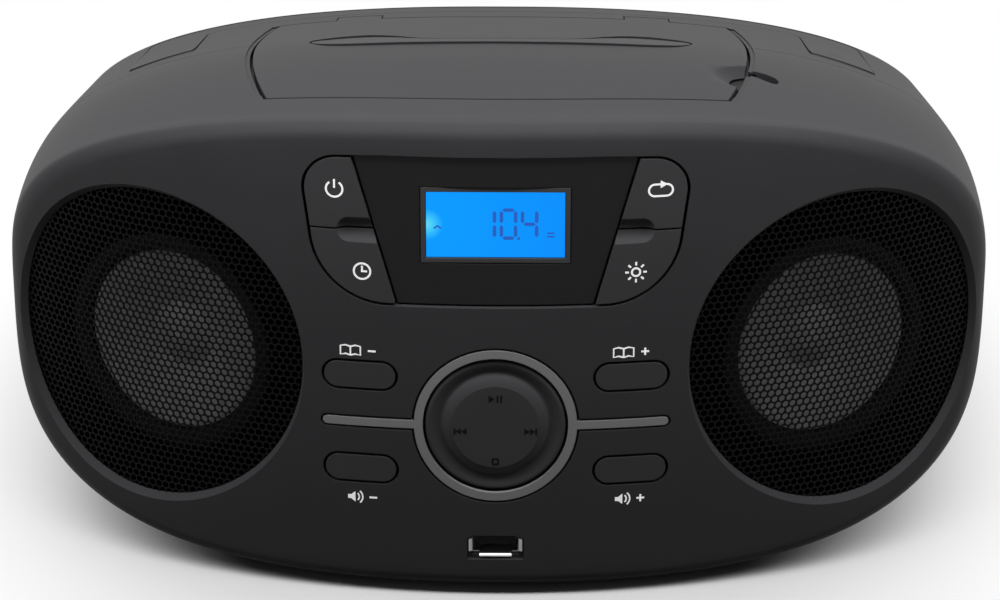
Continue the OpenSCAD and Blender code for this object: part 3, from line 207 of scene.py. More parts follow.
# %% [markdown]
# ## Finishes
# Nearly all of this object is moulded plastic. A mould is spark-eroded, so the skin has a grain
# of a quarter of a millimetre and its gloss wanders a little. The grain is one shader node group
# that each material places with its own values. Moulded edges are never sharp, so a Bevel node
# rounds every edge by a fraction of a millimetre in the shading, where a bevel in the mesh would
# break on the many small cuts.

# %% Grain shared by the moulded and painted parts
FLOAT, COLOUR = "NodeSocketFloat", "NodeSocketColor"
FINE_SHARE, BROAD_SHARE, BROAD_SCALE, TINT_SWING = 0.6, 0.4, 55.0, 4.0


def group_sockets(group, ins, outs):
    for name, kind, *value in ins:
        socket = group.interface.new_socket(name, in_out="INPUT", socket_type=kind)
        if value:
            socket.default_value = value[0]
    for name, kind in outs:
        group.interface.new_socket(name, in_out="OUTPUT", socket_type=kind)
    return group.nodes.new("NodeGroupInput").outputs, group.nodes.new("NodeGroupOutput").inputs


grain = bpy.data.node_groups.new("moulded_grain", "ShaderNodeTree")
into, out = group_sockets(
    grain,
    [("Colour", COLOUR, (0.05, 0.05, 0.05, 1)), ("Spread", FLOAT, 0.1),
     ("Gloss", FLOAT, 0.5), ("Scale", FLOAT, 4000.0)],
    [("Colour", COLOUR), ("Roughness", FLOAT), ("Height", FLOAT)])
where = node(grain, "ShaderNodeTexCoord").outputs["Object"]
fine, broad = (
    node(grain, "ShaderNodeTexNoise", {"Vector": where, "Scale": scale, "Detail": detail})
    .outputs["Fac"] for scale, detail in ((into["Scale"], 2.0), (BROAD_SCALE, 3.0)))
mixed = maths(grain, "ADD", maths(grain, "MULTIPLY", fine, FINE_SHARE),
              maths(grain, "MULTIPLY", broad, BROAD_SHARE))
swing = maths(grain, "MULTIPLY", maths(grain, "SUBTRACT", mixed, 0.5), into["Spread"])
lift = maths(grain, "ADD", maths(grain, "MULTIPLY", swing, TINT_SWING), 1.0)
tint = node(grain, "ShaderNodeVectorMath", {0: into["Colour"], "Scale": lift}, operation="SCALE")
feed(grain, out["Colour"], tint.outputs[0])
feed(grain, out["Roughness"], maths(grain, "ADD", into["Gloss"], swing))
feed(grain, out["Height"], fine)
print("group", grain.name, "with", len(grain.nodes), "nodes")

# %% One maker for the plain finishes
BUMP_STRENGTH, EDGE_SAMPLES = 0.6, 4
finishes = {}


def new_finish(name, **fixed):
    made = bpy.data.materials.new(name)
    made.use_nodes = True
    shader = made.node_tree.nodes["Principled BSDF"].inputs
    for socket, value in fixed.items():
        shader[socket.replace("_", " ")].default_value = value
    finishes[name] = made
    return made.node_tree, shader


def finish(name, colour, gloss, spread=0.1, scale=4000.0, depth=0.02, edge=0.3, spec=0.5, **fixed):
    tree, shader = new_finish(name, Specular_IOR_Level=spec, **fixed)
    skin = node(tree, "ShaderNodeGroup", {"Colour": (*colour, 1), "Spread": spread,
                                          "Gloss": gloss, "Scale": scale}, node_tree=grain).outputs
    bump = node(tree, "ShaderNodeBump", {"Strength": BUMP_STRENGTH, "Distance": depth * MM,
                                         "Height": skin["Height"]})
    if edge:
        rounded = node(tree, "ShaderNodeBevel", {"Radius": edge * MM}, samples=EDGE_SAMPLES)
        feed(tree, bump.inputs["Normal"], rounded.outputs[0])
    feed(tree, shader["Base Color"], skin["Colour"])
    feed(tree, shader["Roughness"], skin["Roughness"])
    feed(tree, shader["Normal"], bump.outputs[0])
    return tree, shader


print("finish maker ready, edges rounded with", EDGE_SAMPLES, "samples")

# %% Plain finishes
finish("case_black", (0.049, 0.049, 0.052), 0.5, spec=0.05)
finish("key_black", (0.058, 0.058, 0.061), 0.48, spec=0.06)
finish("tray_black", (0.010, 0.010, 0.011), 0.45, spec=0.04)
# Near black for the speaker baffles is painted shade: the dark inside of each speaker well is put
# into the colour.
finish("baffle_painted_shade", (0.002, 0.002, 0.002), 0.7, edge=0, spec=0.0)
finish("grille_black", (0.004, 0.004, 0.004), 0.4, scale=2500, edge=0, spec=0.06)
finish("window_black", (0.010, 0.010, 0.011), 0.15, spread=0.02, depth=0.001, spec=0.12)
finish("frame_black", (0.060, 0.060, 0.063), 0.4, spec=0.1)
finish("trim_grey", (0.27, 0.27, 0.275), 0.38, spread=0.08, spec=0.2)
finish("cone_grey", (0.32, 0.32, 0.325), 0.75, spread=0.3, scale=1300, depth=0.06, edge=0)
finish("soft_black", (0.012, 0.012, 0.012), 0.7, spread=0.15, scale=2200, depth=0.03, spec=0.1)
finish("bright_metal", (0.60, 0.60, 0.61), 0.3, spread=0.12, scale=1500, depth=0.004, Metallic=1.0)
finish("aerial_chrome", (0.46, 0.46, 0.47), 0.16, spread=0.05, scale=900, depth=0.001, Metallic=1.0)
finish("white_plastic", (0.72, 0.72, 0.70), 0.45, spread=0.03, depth=0.01)
finish("inner_grey", (0.13, 0.13, 0.135), 0.5, spread=0.12)
finish("lens_clear", (0.18, 0.22, 0.42), 0.06, spread=0.02, depth=0.0005, Coat_Weight=0.6)
# White print, with a weak emission added as painted light so that it stays bright on the dimly lit
# face.
finish("print_white_painted_glow", (0.95, 0.95, 0.95), 0.55, spread=0.05, scale=6000, depth=0.004, edge=0,
       Emission_Color=WHITE, Emission_Strength=0.35)
finish("print_dark", (0.018, 0.018, 0.018), 0.7, spread=0.05, scale=6000, depth=0.002, edge=0,
       spec=0.0)
# A darker copy of the bright steel: painted shade for the socket's shell and side tabs.
finish("socket_metal_painted_shade", (0.30, 0.30, 0.305), 0.30, spread=0.1, scale=1500, depth=0.004, edge=0.1,
       Metallic=1.0)
print("finishes", ", ".join(finishes))

# %% [markdown]
# ## Circuit boards
# Solder mask is glossy and green, with copper runs under it that show as paler lines. Real runs
# could be drawn one by one, but the boards are hardly seen. A Voronoi texture measured to the edge
# of its cells gives a net of such lines for two nodes, and a ramp colours it.

# %% Solder mask
RUN_SCALE = 260


def ramp(tree, value, first, last, *between):
    made = node(tree, "ShaderNodeValToRGB", {"Fac": value})
    for stop, (position, colour) in zip(made.color_ramp.elements, (first, last)):
        stop.position, stop.color = position, (*colour, 1)
    for position, colour in between:
        made.color_ramp.elements.new(position).color = (*colour, 1)
    return made.outputs["Color"]


tree, shader = finish("board_green", (0.012, 0.085, 0.030), 0.3, spread=0.05, depth=0.002)
where = node(tree, "ShaderNodeTexCoord").outputs["Object"]
runs = node(tree, "ShaderNodeTexVoronoi", {"Vector": where, "Scale": RUN_SCALE},
            feature="DISTANCE_TO_EDGE")
feed(tree, shader["Base Color"], ramp(tree, runs.outputs["Distance"], (0.05, (0.03, 0.17, 0.06)),
                                      (0.07, (0.010, 0.075, 0.026))))
print("board finish with", len(tree.nodes), "nodes")

# %% [markdown]
# ## Lit display
# The display glows blue, with the bright spot of a lamp at its left end. Its material gives off its
# own light, with a ramp over the distance from that spot, so the glow is part of the surface and
# looks the same from each side.

# %% Display glow
SPOT_X, SPOT_Z, GLOW_REACH = -19.0, 112.0, 38.0
tree, shader = new_finish("display_blue", Base_Color=(0.0, 0.01, 0.03, 1), Roughness=0.4,
                          Specular_IOR_Level=0.1, Emission_Strength=1.0)
where = node(tree, "ShaderNodeTexCoord").outputs["Object"]
flat = node(tree, "ShaderNodeVectorMath", {0: where, 1: (1, 0, 1)}, operation="MULTIPLY")
away = node(tree, "ShaderNodeVectorMath", {0: flat.outputs[0], 1: (SPOT_X * MM, 0, SPOT_Z * MM)},
            operation="DISTANCE")
along = node(tree, "ShaderNodeMapRange",
             {"Value": away.outputs["Value"], "From Max": GLOW_REACH * MM})
feed(tree, shader["Emission Color"], ramp(
    tree, along.outputs[0], (0.0, (0.12, 0.72, 0.90)), (1.0, (0.0, 0.27, 1.0)),
    (0.07, (0.03, 0.50, 0.95)), (0.12, (0.0, 0.32, 1.0))))
finish("digit_blue", (0.0, 0.02, 0.08), 0.5, spread=0.05, scale=6000, depth=0.002, edge=0,
       Emission_Color=(0.0, 0.075, 0.42, 1), Emission_Strength=1.0)
print("display finish with", len(tree.nodes), "nodes")

# %% [markdown]
# ## Smooth shading for the frame's own parts
# A part that comes from CAD is a heap of loose triangles. Welding them and shading smooth across
# shallow edges makes a turned part look turned. It is a Geometry Nodes modifier, so the mesh
# itself stays as it came.

# %% Weld and smooth modifier
GEOMETRY = "NodeSocketGeometry"
SHARP_FROM, WELD_WITHIN = radians(28), 2e-6
soften = bpy.data.node_groups.new("weld_and_smooth", "GeometryNodeTree")
into, out = group_sockets(soften, [("Geometry", GEOMETRY), ("Sharp angle", FLOAT, SHARP_FROM)],
                          [("Geometry", GEOMETRY)])
weld = node(soften, "GeometryNodeMergeByDistance",
            {"Geometry": into["Geometry"], "Distance": WELD_WITHIN})
faces = node(soften, "GeometryNodeSetShadeSmooth", {"Geometry": weld.outputs["Geometry"]})
corner = node(soften, "GeometryNodeInputMeshEdgeAngle").outputs["Unsigned Angle"]
steep = node(soften, "FunctionNodeCompare", {"A": corner, "B": into["Sharp angle"]},
             operation="GREATER_THAN")
edges = node(soften, "GeometryNodeSetShadeSmooth",
             {"Geometry": faces.outputs["Geometry"], "Selection": steep.outputs["Result"],
              "Shade Smooth": False}, domain="EDGE")
feed(soften, out["Geometry"], edges.outputs["Geometry"])
print("modifier", soften.name)

# %% [markdown]
# ## The cabinet's surface
# The cabinet is a rounded block whose face bows forward, whose top slopes down to the back and
# whose ends are full ovals. It could be modelled by hand with subdivision, but the frame's solids
# follow a rule, and repeating that rule with many more points gives the same skin, only smooth.
# Each ring is one step from the middle of the face, over the soft edge, along the body and over
# the rear edge to the middle of the back.

# %% Sizes of the surface
LEAN = radians(3)
DEPTH, FACE_TOP, WALL, CREASE_R, REAR_R = 230.0, 141.0, 2.5, 4.0, 14.0
MID_R, END_R, MID_HALF = 250.0, 143.0, 88.0
SPEAKER_Z, PARTING = 68.6, 133.0
TOP_SLOPE, TOP_R, TOP_BEND = tan(radians(2.7)), 590, 123
WIDEST_HALF, WIDEST_D, SIDE_BOW = 145, 130, 1772
BASE_LOW, BASE_LEVEL, BASE_BOW = 3, 150, 660
BELLY_SHARE, LOW_POWER = 0.53, 4.0
mid_yaw = asin(MID_HALF / MID_R)
end_x = MID_HALF - END_R * sin(mid_yaw)
end_y = MID_R - (MID_R - END_R) * cos(mid_yaw)
front_y = -(DEPTH + (BASE_LOW + CREASE_R) * tan(LEAN)) / 2
crease_d = FACE_TOP * tan(LEAN)
print("face at", round(front_y, 2), "back at", round(front_y + DEPTH, 2))

# %% Rule of the surface


def bow(x, off=0.0):
    x = np.abs(np.asarray(x, float))
    mid = MID_R - np.sqrt(np.maximum((MID_R - off) ** 2 - x * x, 0))
    end = end_y - np.sqrt(np.maximum((END_R - off) ** 2 - (x - end_x) ** 2, 0))
    return np.where(x < (MID_R - off) * sin(mid_yaw), mid, end)


def top_z(d):
    u = d - crease_d
    past = np.maximum(0, u - TOP_BEND)
    near = u - past
    return (FACE_TOP - near * TOP_SLOPE - near ** 2 / (2 * TOP_R)
            - past * (TOP_SLOPE + TOP_BEND / TOP_R))


def half_w(d):
    return WIDEST_HALF - (d - WIDEST_D) ** 2 / SIDE_BOW


def base_z(d):
    return BASE_LOW + np.maximum(0, d - BASE_LEVEL) ** 2 / BASE_BOW


def belly_z(d):
    return base_z(d) + BELLY_SHARE * (top_z(d) - base_z(d))


def top_power(d):
    return 2.9 - 0.002 * d


def shoulder_z(x, d):
    p = top_power(d)
    return belly_z(d) + (top_z(d) - belly_z(d)) * (1 - (abs(x) / half_w(d)) ** p) ** (1 / p)


def section(t, d, off, tuck, tuck_base):
    low = np.sin(t) < 0
    p = np.where(low, LOW_POWER, top_power(d))
    r = (np.abs(np.cos(t)) ** p + np.abs(np.sin(t)) ** p) ** (-1 / p)
    mid = belly_z(d)
    high = np.where(low, mid - base_z(d) - off - tuck_base, top_z(d) - off - tuck - mid)
    return (half_w(d) - off - tuck) * r * np.cos(t), mid + high * r * np.sin(t)


def face_d(x, z, off=0.0):
    return bow(x, off) + z * tan(LEAN)


print("top at the back", round(float(top_z(DEPTH)), 1), "half width there", round(half_w(DEPTH), 1))

# %% From points to a mesh


def new_piece(name, points, faces):
    mesh = bpy.data.meshes.new(name)
    mesh.from_pydata([tuple(p) for p in np.asarray(points, float) * MM], [], faces)
    shape = bmesh.new()
    shape.from_mesh(mesh)
    bmesh.ops.recalc_face_normals(shape, faces=shape.faces)
    shape.to_mesh(mesh)
    shape.free()
    return put(name, mesh)


def band(a, b, n):
    return [(a + j, a + (j + 1) % n, b + (j + 1) % n, b + j) for j in range(n)]


print("mesh helpers ready, a band of 3 has", len(band(0, 3, 3)), "faces")

# %% Closed skin from rings
FINE, COARSE = 288, 192
FACE_RINGS, CREASE_RINGS, BODY_RINGS, REAR_RINGS = 27, 9, 42, 11


def skin_solid(off, sides=COARSE):
    t = np.linspace(0, 2 * pi, sides, endpoint=False)
    d = np.full(sides, 20.0)
    for _ in range(6):
        d = face_d(*section(t, d, off, 0, 0), off)
    rings = []
    x, z = section(t, d, off, CREASE_R, CREASE_R)
    for share in np.linspace(0, 1, FACE_RINGS)[1:-1]:
        rx, rz = x * share, SPEAKER_Z + (z - SPEAKER_Z) * share
        rings.append((rx, front_y + face_d(rx, rz, off), rz))
    for a in np.radians(np.linspace(90, 0, CREASE_RINGS)):
        tuck = CREASE_R * (1 - cos(a))
        rx, rz = section(t, d, off, tuck, tuck)
        rings.append((rx, front_y + face_d(rx, rz, off) + CREASE_R * (1 - sin(a)), rz))
    start, stop = d + CREASE_R, DEPTH - off - REAR_R
    for share in np.linspace(0, 1, BODY_RINGS)[1:-1]:
        at = start + (stop - start) * share
        rx, rz = section(t, at, off, 0, 0)
        rings.append((rx, front_y + at, rz))
    for a in np.radians(np.linspace(0, 90, REAR_RINGS)):
        at = np.full(sides, DEPTH - off - REAR_R * (1 - sin(a)))
        tuck = REAR_R * (1 - cos(a))
        rx, rz = section(t, at, off, tuck, 0.4 * tuck)
        rings.append((rx, front_y + at, rz))
    points = [(0, front_y + float(face_d(0, SPEAKER_Z, off)), SPEAKER_Z)]
    for ring in rings:
        points += list(zip(*ring))
    points.append((0, front_y + DEPTH - off, float(belly_z(DEPTH))))
    faces = [(0, 1 + (j + 1) % sides, 1 + j) for j in range(sides)]
    for k in range(len(rings) - 1):
        faces += band(1 + k * sides, 1 + (k + 1) * sides, sides)
    a = 1 + (len(rings) - 1) * sides
    faces += [(len(points) - 1, a + j, a + (j + 1) % sides) for j in range(sides)]
    return new_piece("skin", points, faces)


trial = skin_solid(0, FINE)
print("skin", len(trial.data.polygons), "faces, width", round(trial.dimensions.x, 4))
bpy.data.objects.remove(trial, do_unlink=True)

# %% [markdown]
# ## Cutting
# Lids, windows and slots are cut with prisms and rods. Blender's Manifold solver does this in a
# fraction of a second on closed meshes, which is why each tool below is made closed. Three small
# maps place a tool: seen from above, on the leaning face, or on a speaker's axis.

# %% Places
SPEAKER_X, SPEAKER_YAW, SPEAKER_HALF = 96.5, radians(26), 46.5


def seen_from_above(x, d, z):
    return (x, front_y + d, z)


def on_face(x, z, y):
    return (x, front_y + y * cos(LEAN) + z * sin(LEAN),
            -y * sin(LEAN) + z * cos(LEAN))


across = SPEAKER_HALF * cos(SPEAKER_YAW)
speaker_d = float(bow(SPEAKER_X + across) + bow(SPEAKER_X - across)) / 2


def on_speaker(side):
    turn = side * SPEAKER_YAW

    def place(u, v, w):
        x = side * SPEAKER_X + u * cos(turn) + w * sin(turn)
        y = speaker_d + u * sin(turn) - w * cos(turn)
        return on_face(x, SPEAKER_Z + v, y)
    return place


print("speaker seat at depth", round(speaker_d, 2))

# %% Plain outlines


def circle(a, b, r, n=64):
    turns = [2 * pi * k / n for k in range(n)]
    return [(a + r * cos(t), b + r * sin(t)) for t in turns]


def arc(a, b, r, first, last, n=24):
    turns = np.radians(np.linspace(first, last, n))
    return [(a + r * cos(t), b + r * sin(t)) for t in turns]


def stadium(a, b, w, h, n=25):
    half = (w - h) / 2
    return arc(a + half, b, h / 2, -90, 90, n) + arc(a - half, b, h / 2, 90, 270, n)


def box(a, b):
    return [(a[0], b[0]), (a[1], b[0]), (a[1], b[1]), (a[0], b[1])]


def oblong(a, b, w, h):
    return box((a - w / 2, a + w / 2), (b - h / 2, b + h / 2))


print("a circle has", len(circle(0, 0, 1)), "points, a stadium", len(stadium(0, 0, 2, 1)))

# %% Solid tools
LOW, HIGH, NEAR = 70, 150, -3


def prism(outline, low, high, place):
    n = len(outline)
    points = [place(a, b, end) for end in (low, high) for a, b in outline]
    faces = [list(range(n))[::-1], list(range(n, 2 * n))] + band(0, n, n)
    return new_piece("tool", points, faces)


def from_above(outline):
    return prism(outline, LOW, HIGH, seen_from_above)


def from_front(outline, far=12):
    return prism(outline, NEAR, far, on_face)


def rod(x0, x1, d, z, r, n=64):
    return prism(circle(front_y + d, z, r, n), x0, x1, lambda a, b, x: (x, a, b))


def block(x, d, z):
    return prism(box(x, d), *z, seen_from_above)


print("tools from above reach from", LOW, "to", HIGH, "mm")

# %% Cuts


def baked(obj):
    graph = bpy.context.evaluated_depsgraph_get()
    made = bpy.data.meshes.new_from_object(obj.evaluated_get(graph))
    obj.modifiers.clear()
    return made


def cut(target, *tools, how="DIFFERENCE"):
    for tool in tools:
        step = target.modifiers.new("cut", "BOOLEAN")
        step.solver = "MANIFOLD"
        step.operation = how
        step.object = tool
        old, target.data = target.data, baked(target)
        bpy.data.meshes.remove(old)
        bpy.data.objects.remove(tool, do_unlink=True)
        assert len(target.data.polygons) > 3, "a cut left nothing"
    return target


def keep(target, *tools):
    return cut(target, *tools, how="INTERSECT")


def add(target, *tools):
    return cut(target, *tools, how="UNION")


def shell(thick):
    return cut(skin_solid(0, FINE), skin_solid(thick))


print("cuts ready")

# %% Outline of the lid
LID_HALF, LID_FRONT, LID_REAR, LID_SIDE_R, LID_WIDEST_D = 74.4, 34.0, 183.0, 420, 132
LID_GAP, ROOM = 1.0, 0.4


def lid_side(d):
    return LID_HALF - LID_SIDE_R + sqrt(LID_SIDE_R ** 2 - (d - LID_WIDEST_D) ** 2)


def lid_edge(x):
    return LID_FRONT + MID_R - sqrt(MID_R ** 2 - x * x)


def lid_outline():
    corner = LID_FRONT
    for _ in range(20):
        corner = lid_edge(lid_side(corner))
    half = lid_side(corner)
    front = [(x, lid_edge(x)) for x in np.linspace(-half, half, 49)]
    right = [(lid_side(d), d) for d in np.linspace(corner, LID_REAR, 40)[1:]]
    return front + right + [(-x, d) for x, d in right[::-1]]


def grown(outline, g):
    p = np.array(outline, float)
    edges = p - np.roll(p, 1, 0), np.roll(p, -1, 0) - p
    n1, n2 = (np.stack([e[:, 1], -e[:, 0]], 1) / np.linalg.norm(e, axis=1)[:, None] for e in edges)
    return (p + g * (n1 + n2) / (1 + (n1 * n2).sum(1))[:, None]).tolist()


def lid_tool(g):
    return from_above(grown(lid_outline(), g))


print("lid half width in front", round(lid_outline()[48][0], 2))

# %% Outline of the handle
ARM_IN, ARM_W, ARM_D, GRIP_D, GRIP_W, GRIP_CORNER = 96.0, 20.0, 154.0, 200.0, 15.5, 6.0
HANDLE_T, NOSE_R, NOSE_IN, ARM_AXIS = 9.0, 7.6, 0.3, 5.6
arm_z = float(shoulder_z(ARM_IN, ARM_D)) - ARM_AXIS


def round_front(half, d, g):
    quarter = arc(half - GRIP_CORNER, d - GRIP_CORNER, GRIP_CORNER + g, 0, 90, 9)
    return quarter + [(-x, y) for x, y in quarter[::-1]]


def handle_outline(g):
    outer = round_front(ARM_IN + ARM_W, GRIP_D + GRIP_W, g)
    inner = round_front(ARM_IN, GRIP_D, -g)
    low = ARM_D - g
    return ([(outer[0][0], low)] + outer + [(outer[-1][0], low), (inner[-1][0], low)]
            + inner[::-1] + [(inner[0][0], low)])


def noses(g):
    ends = (ARM_IN + NOSE_IN - g, ARM_IN + ARM_W - NOSE_IN + g)
    return [rod(*sorted(s * x for x in ends), ARM_D, arm_z, NOSE_R + g) for s in SIDES]


print("handle axis at", round(arm_z, 2))

# %% [markdown]
# ## Dressing a piece
# A finished piece rides on its body, hides the frame's part that it stands for, and takes its
# finish. Edges steeper than 30 degrees stay sharp, and the rest is shaded smooth.

# %% Hand a piece over
SHARP_EDGE = radians(30)


def hand_over(obj, name, body, slot, nodes=(), look=None):
    obj.name = name
    obj.data.name = name
    obj.data.materials.clear()
    obj.data.materials.append(finishes[look or slot])
    obj.data.shade_smooth()
    obj.data.set_sharp_from_angle(angle=SHARP_EDGE)
    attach(obj, body)
    if nodes:
        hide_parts(*nodes)
    print(name, len(obj.data.polygons), "faces on", body)


def joined(name, *parts):
    shape = bmesh.new()
    for part in parts:
        shape.from_mesh(part.data)
        bpy.data.objects.remove(part, do_unlink=True)
    mesh = bpy.data.meshes.new(name)
    shape.to_mesh(mesh)
    shape.free()
    return put(name, mesh)


print("pieces can be handed over in", len(finishes), "finishes")

# %% [markdown]
# ## Front half of the cabinet
# The front half is a shell with the speaker openings, the panel, the buttons' holes, a shallow
# seat for the grey ring, the socket and the front of the lid's opening cut through it. The tool for
# the ring's bars starts far outside, because its end is one flat face that would dip under the bow.

# %% Outlines on the face
PANEL_HALF, PANEL_TOP, PANEL_CORNER = 53.5, 132.0, 10.0
PANEL_LOW, PANEL_LOW_X, PANEL_LOW_R = 88.5, 29.9, 22.0
PAD_Z, RING_R, RING_W, BAR_HALF, BAR_H = 53.0, 22.9, 2.9, 48.6, 2.5
PILL_X, PILL_RISE, PILL_W, PILL_H, KEY_GAP = 38.0, 14.2, 20.0, 7.7, 0.8


def hull_outline(circles, n=192):
    points = []
    for k in range(n):
        t = 2 * pi * k / n
        far = max(circles, key=lambda c: c[0] * cos(t) + c[1] * sin(t) + c[2])
        points.append((far[0] + far[2] * cos(t), far[1] + far[2] * sin(t)))
    return points


panel_outline = hull_outline(
    [(s * (PANEL_HALF - PANEL_CORNER), PANEL_TOP - PANEL_CORNER, PANEL_CORNER) for s in SIDES]
    + [(s * PANEL_LOW_X, PANEL_LOW + PANEL_LOW_R, PANEL_LOW_R) for s in SIDES])


def on_skin(x, z, y):
    return on_face(x, z, float(bow(x)) * cos(LEAN) + y)


def bar_outline(g):
    r, end = BAR_H / 2 + g, BAR_HALF - BAR_H / 2
    xs = np.linspace(-end, end, 33)
    right = arc(end, PAD_Z, r, -75, 75, 11)
    left = [(-x, 2 * PAD_Z - z) for x, z in right]
    return [(x, PAD_Z - r) for x in xs] + right + [(x, PAD_Z + r) for x in xs[::-1]] + left


def pill_outline(side, row, g):
    return stadium(side * PILL_X, PAD_Z + row * PILL_RISE, PILL_W + 2 * g, PILL_H + 2 * g)


print("panel outline", len(panel_outline), "points, bar outline", len(bar_outline(0)))

# %% Front shell
RIM_OUT, RIM_IN = 48.0, 46.2
RING_GAP, SEAT_DEEP, BAR_NEAR, ROUND = 0.65, 2.2, -9, 128
USB_Z, USB_W, USB_H, USB_SEAT_W, USB_SEAT_H, USB_SEAT_DEEP = 16.0, 13.6, 6.2, 16.0, 6.6, 1.3
EVERY_X, EVERY_Z, SEAM = (-200, 200), (-50, 250), 0.25
front = shell(WALL)
cut(front, block(EVERY_X, (PARTING - SEAM, 300), EVERY_Z))
cut(front, *[prism(circle(0, 0, RIM_OUT, 160), -12, 40, on_speaker(s)) for s in SIDES])
cut(front, from_front(panel_outline))
cut(front, *[from_front(pill_outline(s, row, KEY_GAP)) for s in SIDES for row in SIDES])
cut(front, prism(circle(0, PAD_Z, RING_R + RING_GAP, ROUND), NEAR, SEAT_DEEP, on_skin))
cut(front, prism(bar_outline(RING_GAP), BAR_NEAR, SEAT_DEEP, on_skin))
cut(front, from_front(circle(0, PAD_Z, RING_R - RING_W + ROOM, ROUND)))
cut(front, from_front(oblong(0, USB_Z - 1.0, USB_SEAT_W, USB_SEAT_H), USB_SEAT_DEEP),
    from_front(oblong(0, USB_Z, USB_W, USB_H)))
print("front shell", len(front.data.polygons), "faces")

# %% [markdown]
# The lid's opening has a soft shoulder along its sides, which shows as a paler band beside the
# dark gap. It is one shallow step that the Bevel shading rounds. The wall is thinned from below
# beside the lid, so that the gap stays dark. The finger slot curls forward like a comma, and its
# outline is a smooth curve through a few points.

# %% Lid opening and finger slot
SHOULDER_W, SHOULDER_DEEP, SHOULDER_D = 1.3, 0.45, (46, 182)
THIN_W, THIN_DEEP, THIN_D = 2.4, 1.0, (38, 178)


def smooth_profile(points, steps=6):
    p = [points[0]] + list(points) + [points[-1]]
    made = []
    for i in range(1, len(p) - 2):
        a, b, c, d = (np.array(q, float) for q in p[i - 1:i + 3])
        for s in range(steps):
            t = s / steps
            made.append(0.5 * (2 * b + (c - a) * t + (2 * a - 5 * b + 4 * c - d) * t * t
                               + (3 * b - a - 3 * c + d) * t ** 3))
    return made + [np.array(points[-1], float)]


slot_outline = smooth_profile([
    (71, 77.6), (73, 76.8), (75, 75.0), (77, 72.4), (79, 70.4), (80.4, 71.0), (81, 74.5),
    (80.2, 78.5), (78, 81.8), (75, 83.8), (71, 84.6)])


def opening_tools():
    wide, tall = (-120, 120), (0, 200)
    shoulder = lid_tool(LID_GAP + SHOULDER_W)
    cut(shoulder, skin_solid(SHOULDER_DEEP))
    cut(shoulder, block(wide, (-10, SHOULDER_D[0]), tall), block(wide, (SHOULDER_D[1], 300), tall))
    thin = lid_tool(LID_GAP + THIN_W)
    keep(thin, skin_solid(THIN_DEEP), block(wide, THIN_D, tall))
    return [lid_tool(LID_GAP), shoulder, thin]


cut(front, *opening_tools(), from_above(slot_outline))
print("front with lid opening", len(front.data.polygons), "faces")

# %% [markdown]
# ## Speaker rims
# Round each speaker the face turns inwards in a smooth lip. Its outer edge lies on the bowed face,
# so it is no plain lathe: each point is dropped onto the face along the speaker's axis, and the
# lip and the wall below it hang from there.

# %% Rings round a speaker
RIM_POINTS = 144


def face_height(side, u):
    turn = side * SPEAKER_YAW
    w = 0.0
    for _ in range(25):
        x = side * SPEAKER_X + u * cos(turn) + w * sin(turn)
        w = (speaker_d + u * sin(turn) - float(bow(x)) * cos(LEAN)) / cos(turn)
    return w


def ring_on_face(side, r, deep):
    place = on_speaker(side)
    return [place(u, v, face_height(side, u) - deep) for u, v in circle(0, 0, r, RIM_POINTS)]


def ring_inside(side, r, w, drop=0.0):
    place = on_speaker(side)
    return [place(u, v, w) for u, v in circle(0, -drop, r, RIM_POINTS)]


def tube_of(rings):
    n = len(rings[0])
    faces = []
    for a in range(len(rings)):
        faces += band(a * n, (a + 1) % len(rings) * n, n)
    return new_piece("tube", [p for ring in rings for p in ring], faces)


print("face over the speaker's middle at", round(face_height(1, 0), 2))

# %% Lips and wells
BAFFLE, BAFFLE_T, DRIVER_OPEN, DRIVER_DROP = -4.2, 2.5, 34.0, 3.5
WELL_R, WELL_DEEP = RIM_IN + 0.02, 2.45
lip = [(RIM_OUT + 0.6, 1.6), (RIM_OUT + 0.02, 0.0), (47.85, 0.03), (47.5, 0.5), (47.0, 1.2),
       (46.6, 1.8), (RIM_IN, 2.4), (RIM_OUT + 0.6, 2.4)]
lips, baffles = [], []
for s in SIDES:
    lips.append(tube_of([ring_on_face(s, r, deep) for r, deep in lip]))
    baffles.append(tube_of([
        ring_on_face(s, RIM_OUT, WELL_DEEP), ring_on_face(s, WELL_R, WELL_DEEP),
        ring_inside(s, WELL_R, BAFFLE), ring_inside(s, DRIVER_OPEN, BAFFLE, DRIVER_DROP),
        ring_inside(s, DRIVER_OPEN, BAFFLE - BAFFLE_T, DRIVER_DROP),
        ring_inside(s, RIM_OUT, BAFFLE - BAFFLE_T)]))
hand_over(joined("front", front, *lips), "cabinet_front", "cabinet", "case_black",
          ["front_cabinet"])
# The baffles take a near-black finish: painted shade for the dark inside of the speaker wells.
hand_over(joined("baffles", *baffles), "speaker_baffles", "cabinet", "grille_black",
          ["front_cabinet"], look="baffle_painted_shade")

# %% [markdown]
# ## Speaker mesh
# The mesh is sheet steel with round holes on a six-sided grid, bowed with the face. Cutting some
# 1,600 holes would be slow and heavy. One six-sided tile with a hole is made instead, and Geometry
# Nodes set it on every point of the grid, turned to face outwards.

# %% Tile
MESH_PITCH, MESH_HOLE, MESH_T, MESH_IN = 2.2, 0.95, 0.5, 2.2
MESH_ROW = MESH_PITCH * sin(radians(60))


def mesh_tile():
    flat = MESH_PITCH / 2
    corner = flat / cos(radians(30))
    points, faces = [], []
    for z in (0, -MESH_T):
        for rim in ([flat, corner] * 6, [MESH_HOLE] * 12):
            for k, r in enumerate(rim):
                t = radians(30 * k)
                points.append((r * cos(t), r * sin(t), z))
    for k in range(12):
        j = (k + 1) % 12
        faces += [(k, j, 12 + j, 12 + k), (12 + k, 12 + j, 36 + j, 36 + k),
                  (24 + k, 36 + k, 36 + j, 24 + j)]
    return new_piece("mesh_tile", points, faces)


tile = mesh_tile()
print("tile", len(tile.data.polygons), "faces")

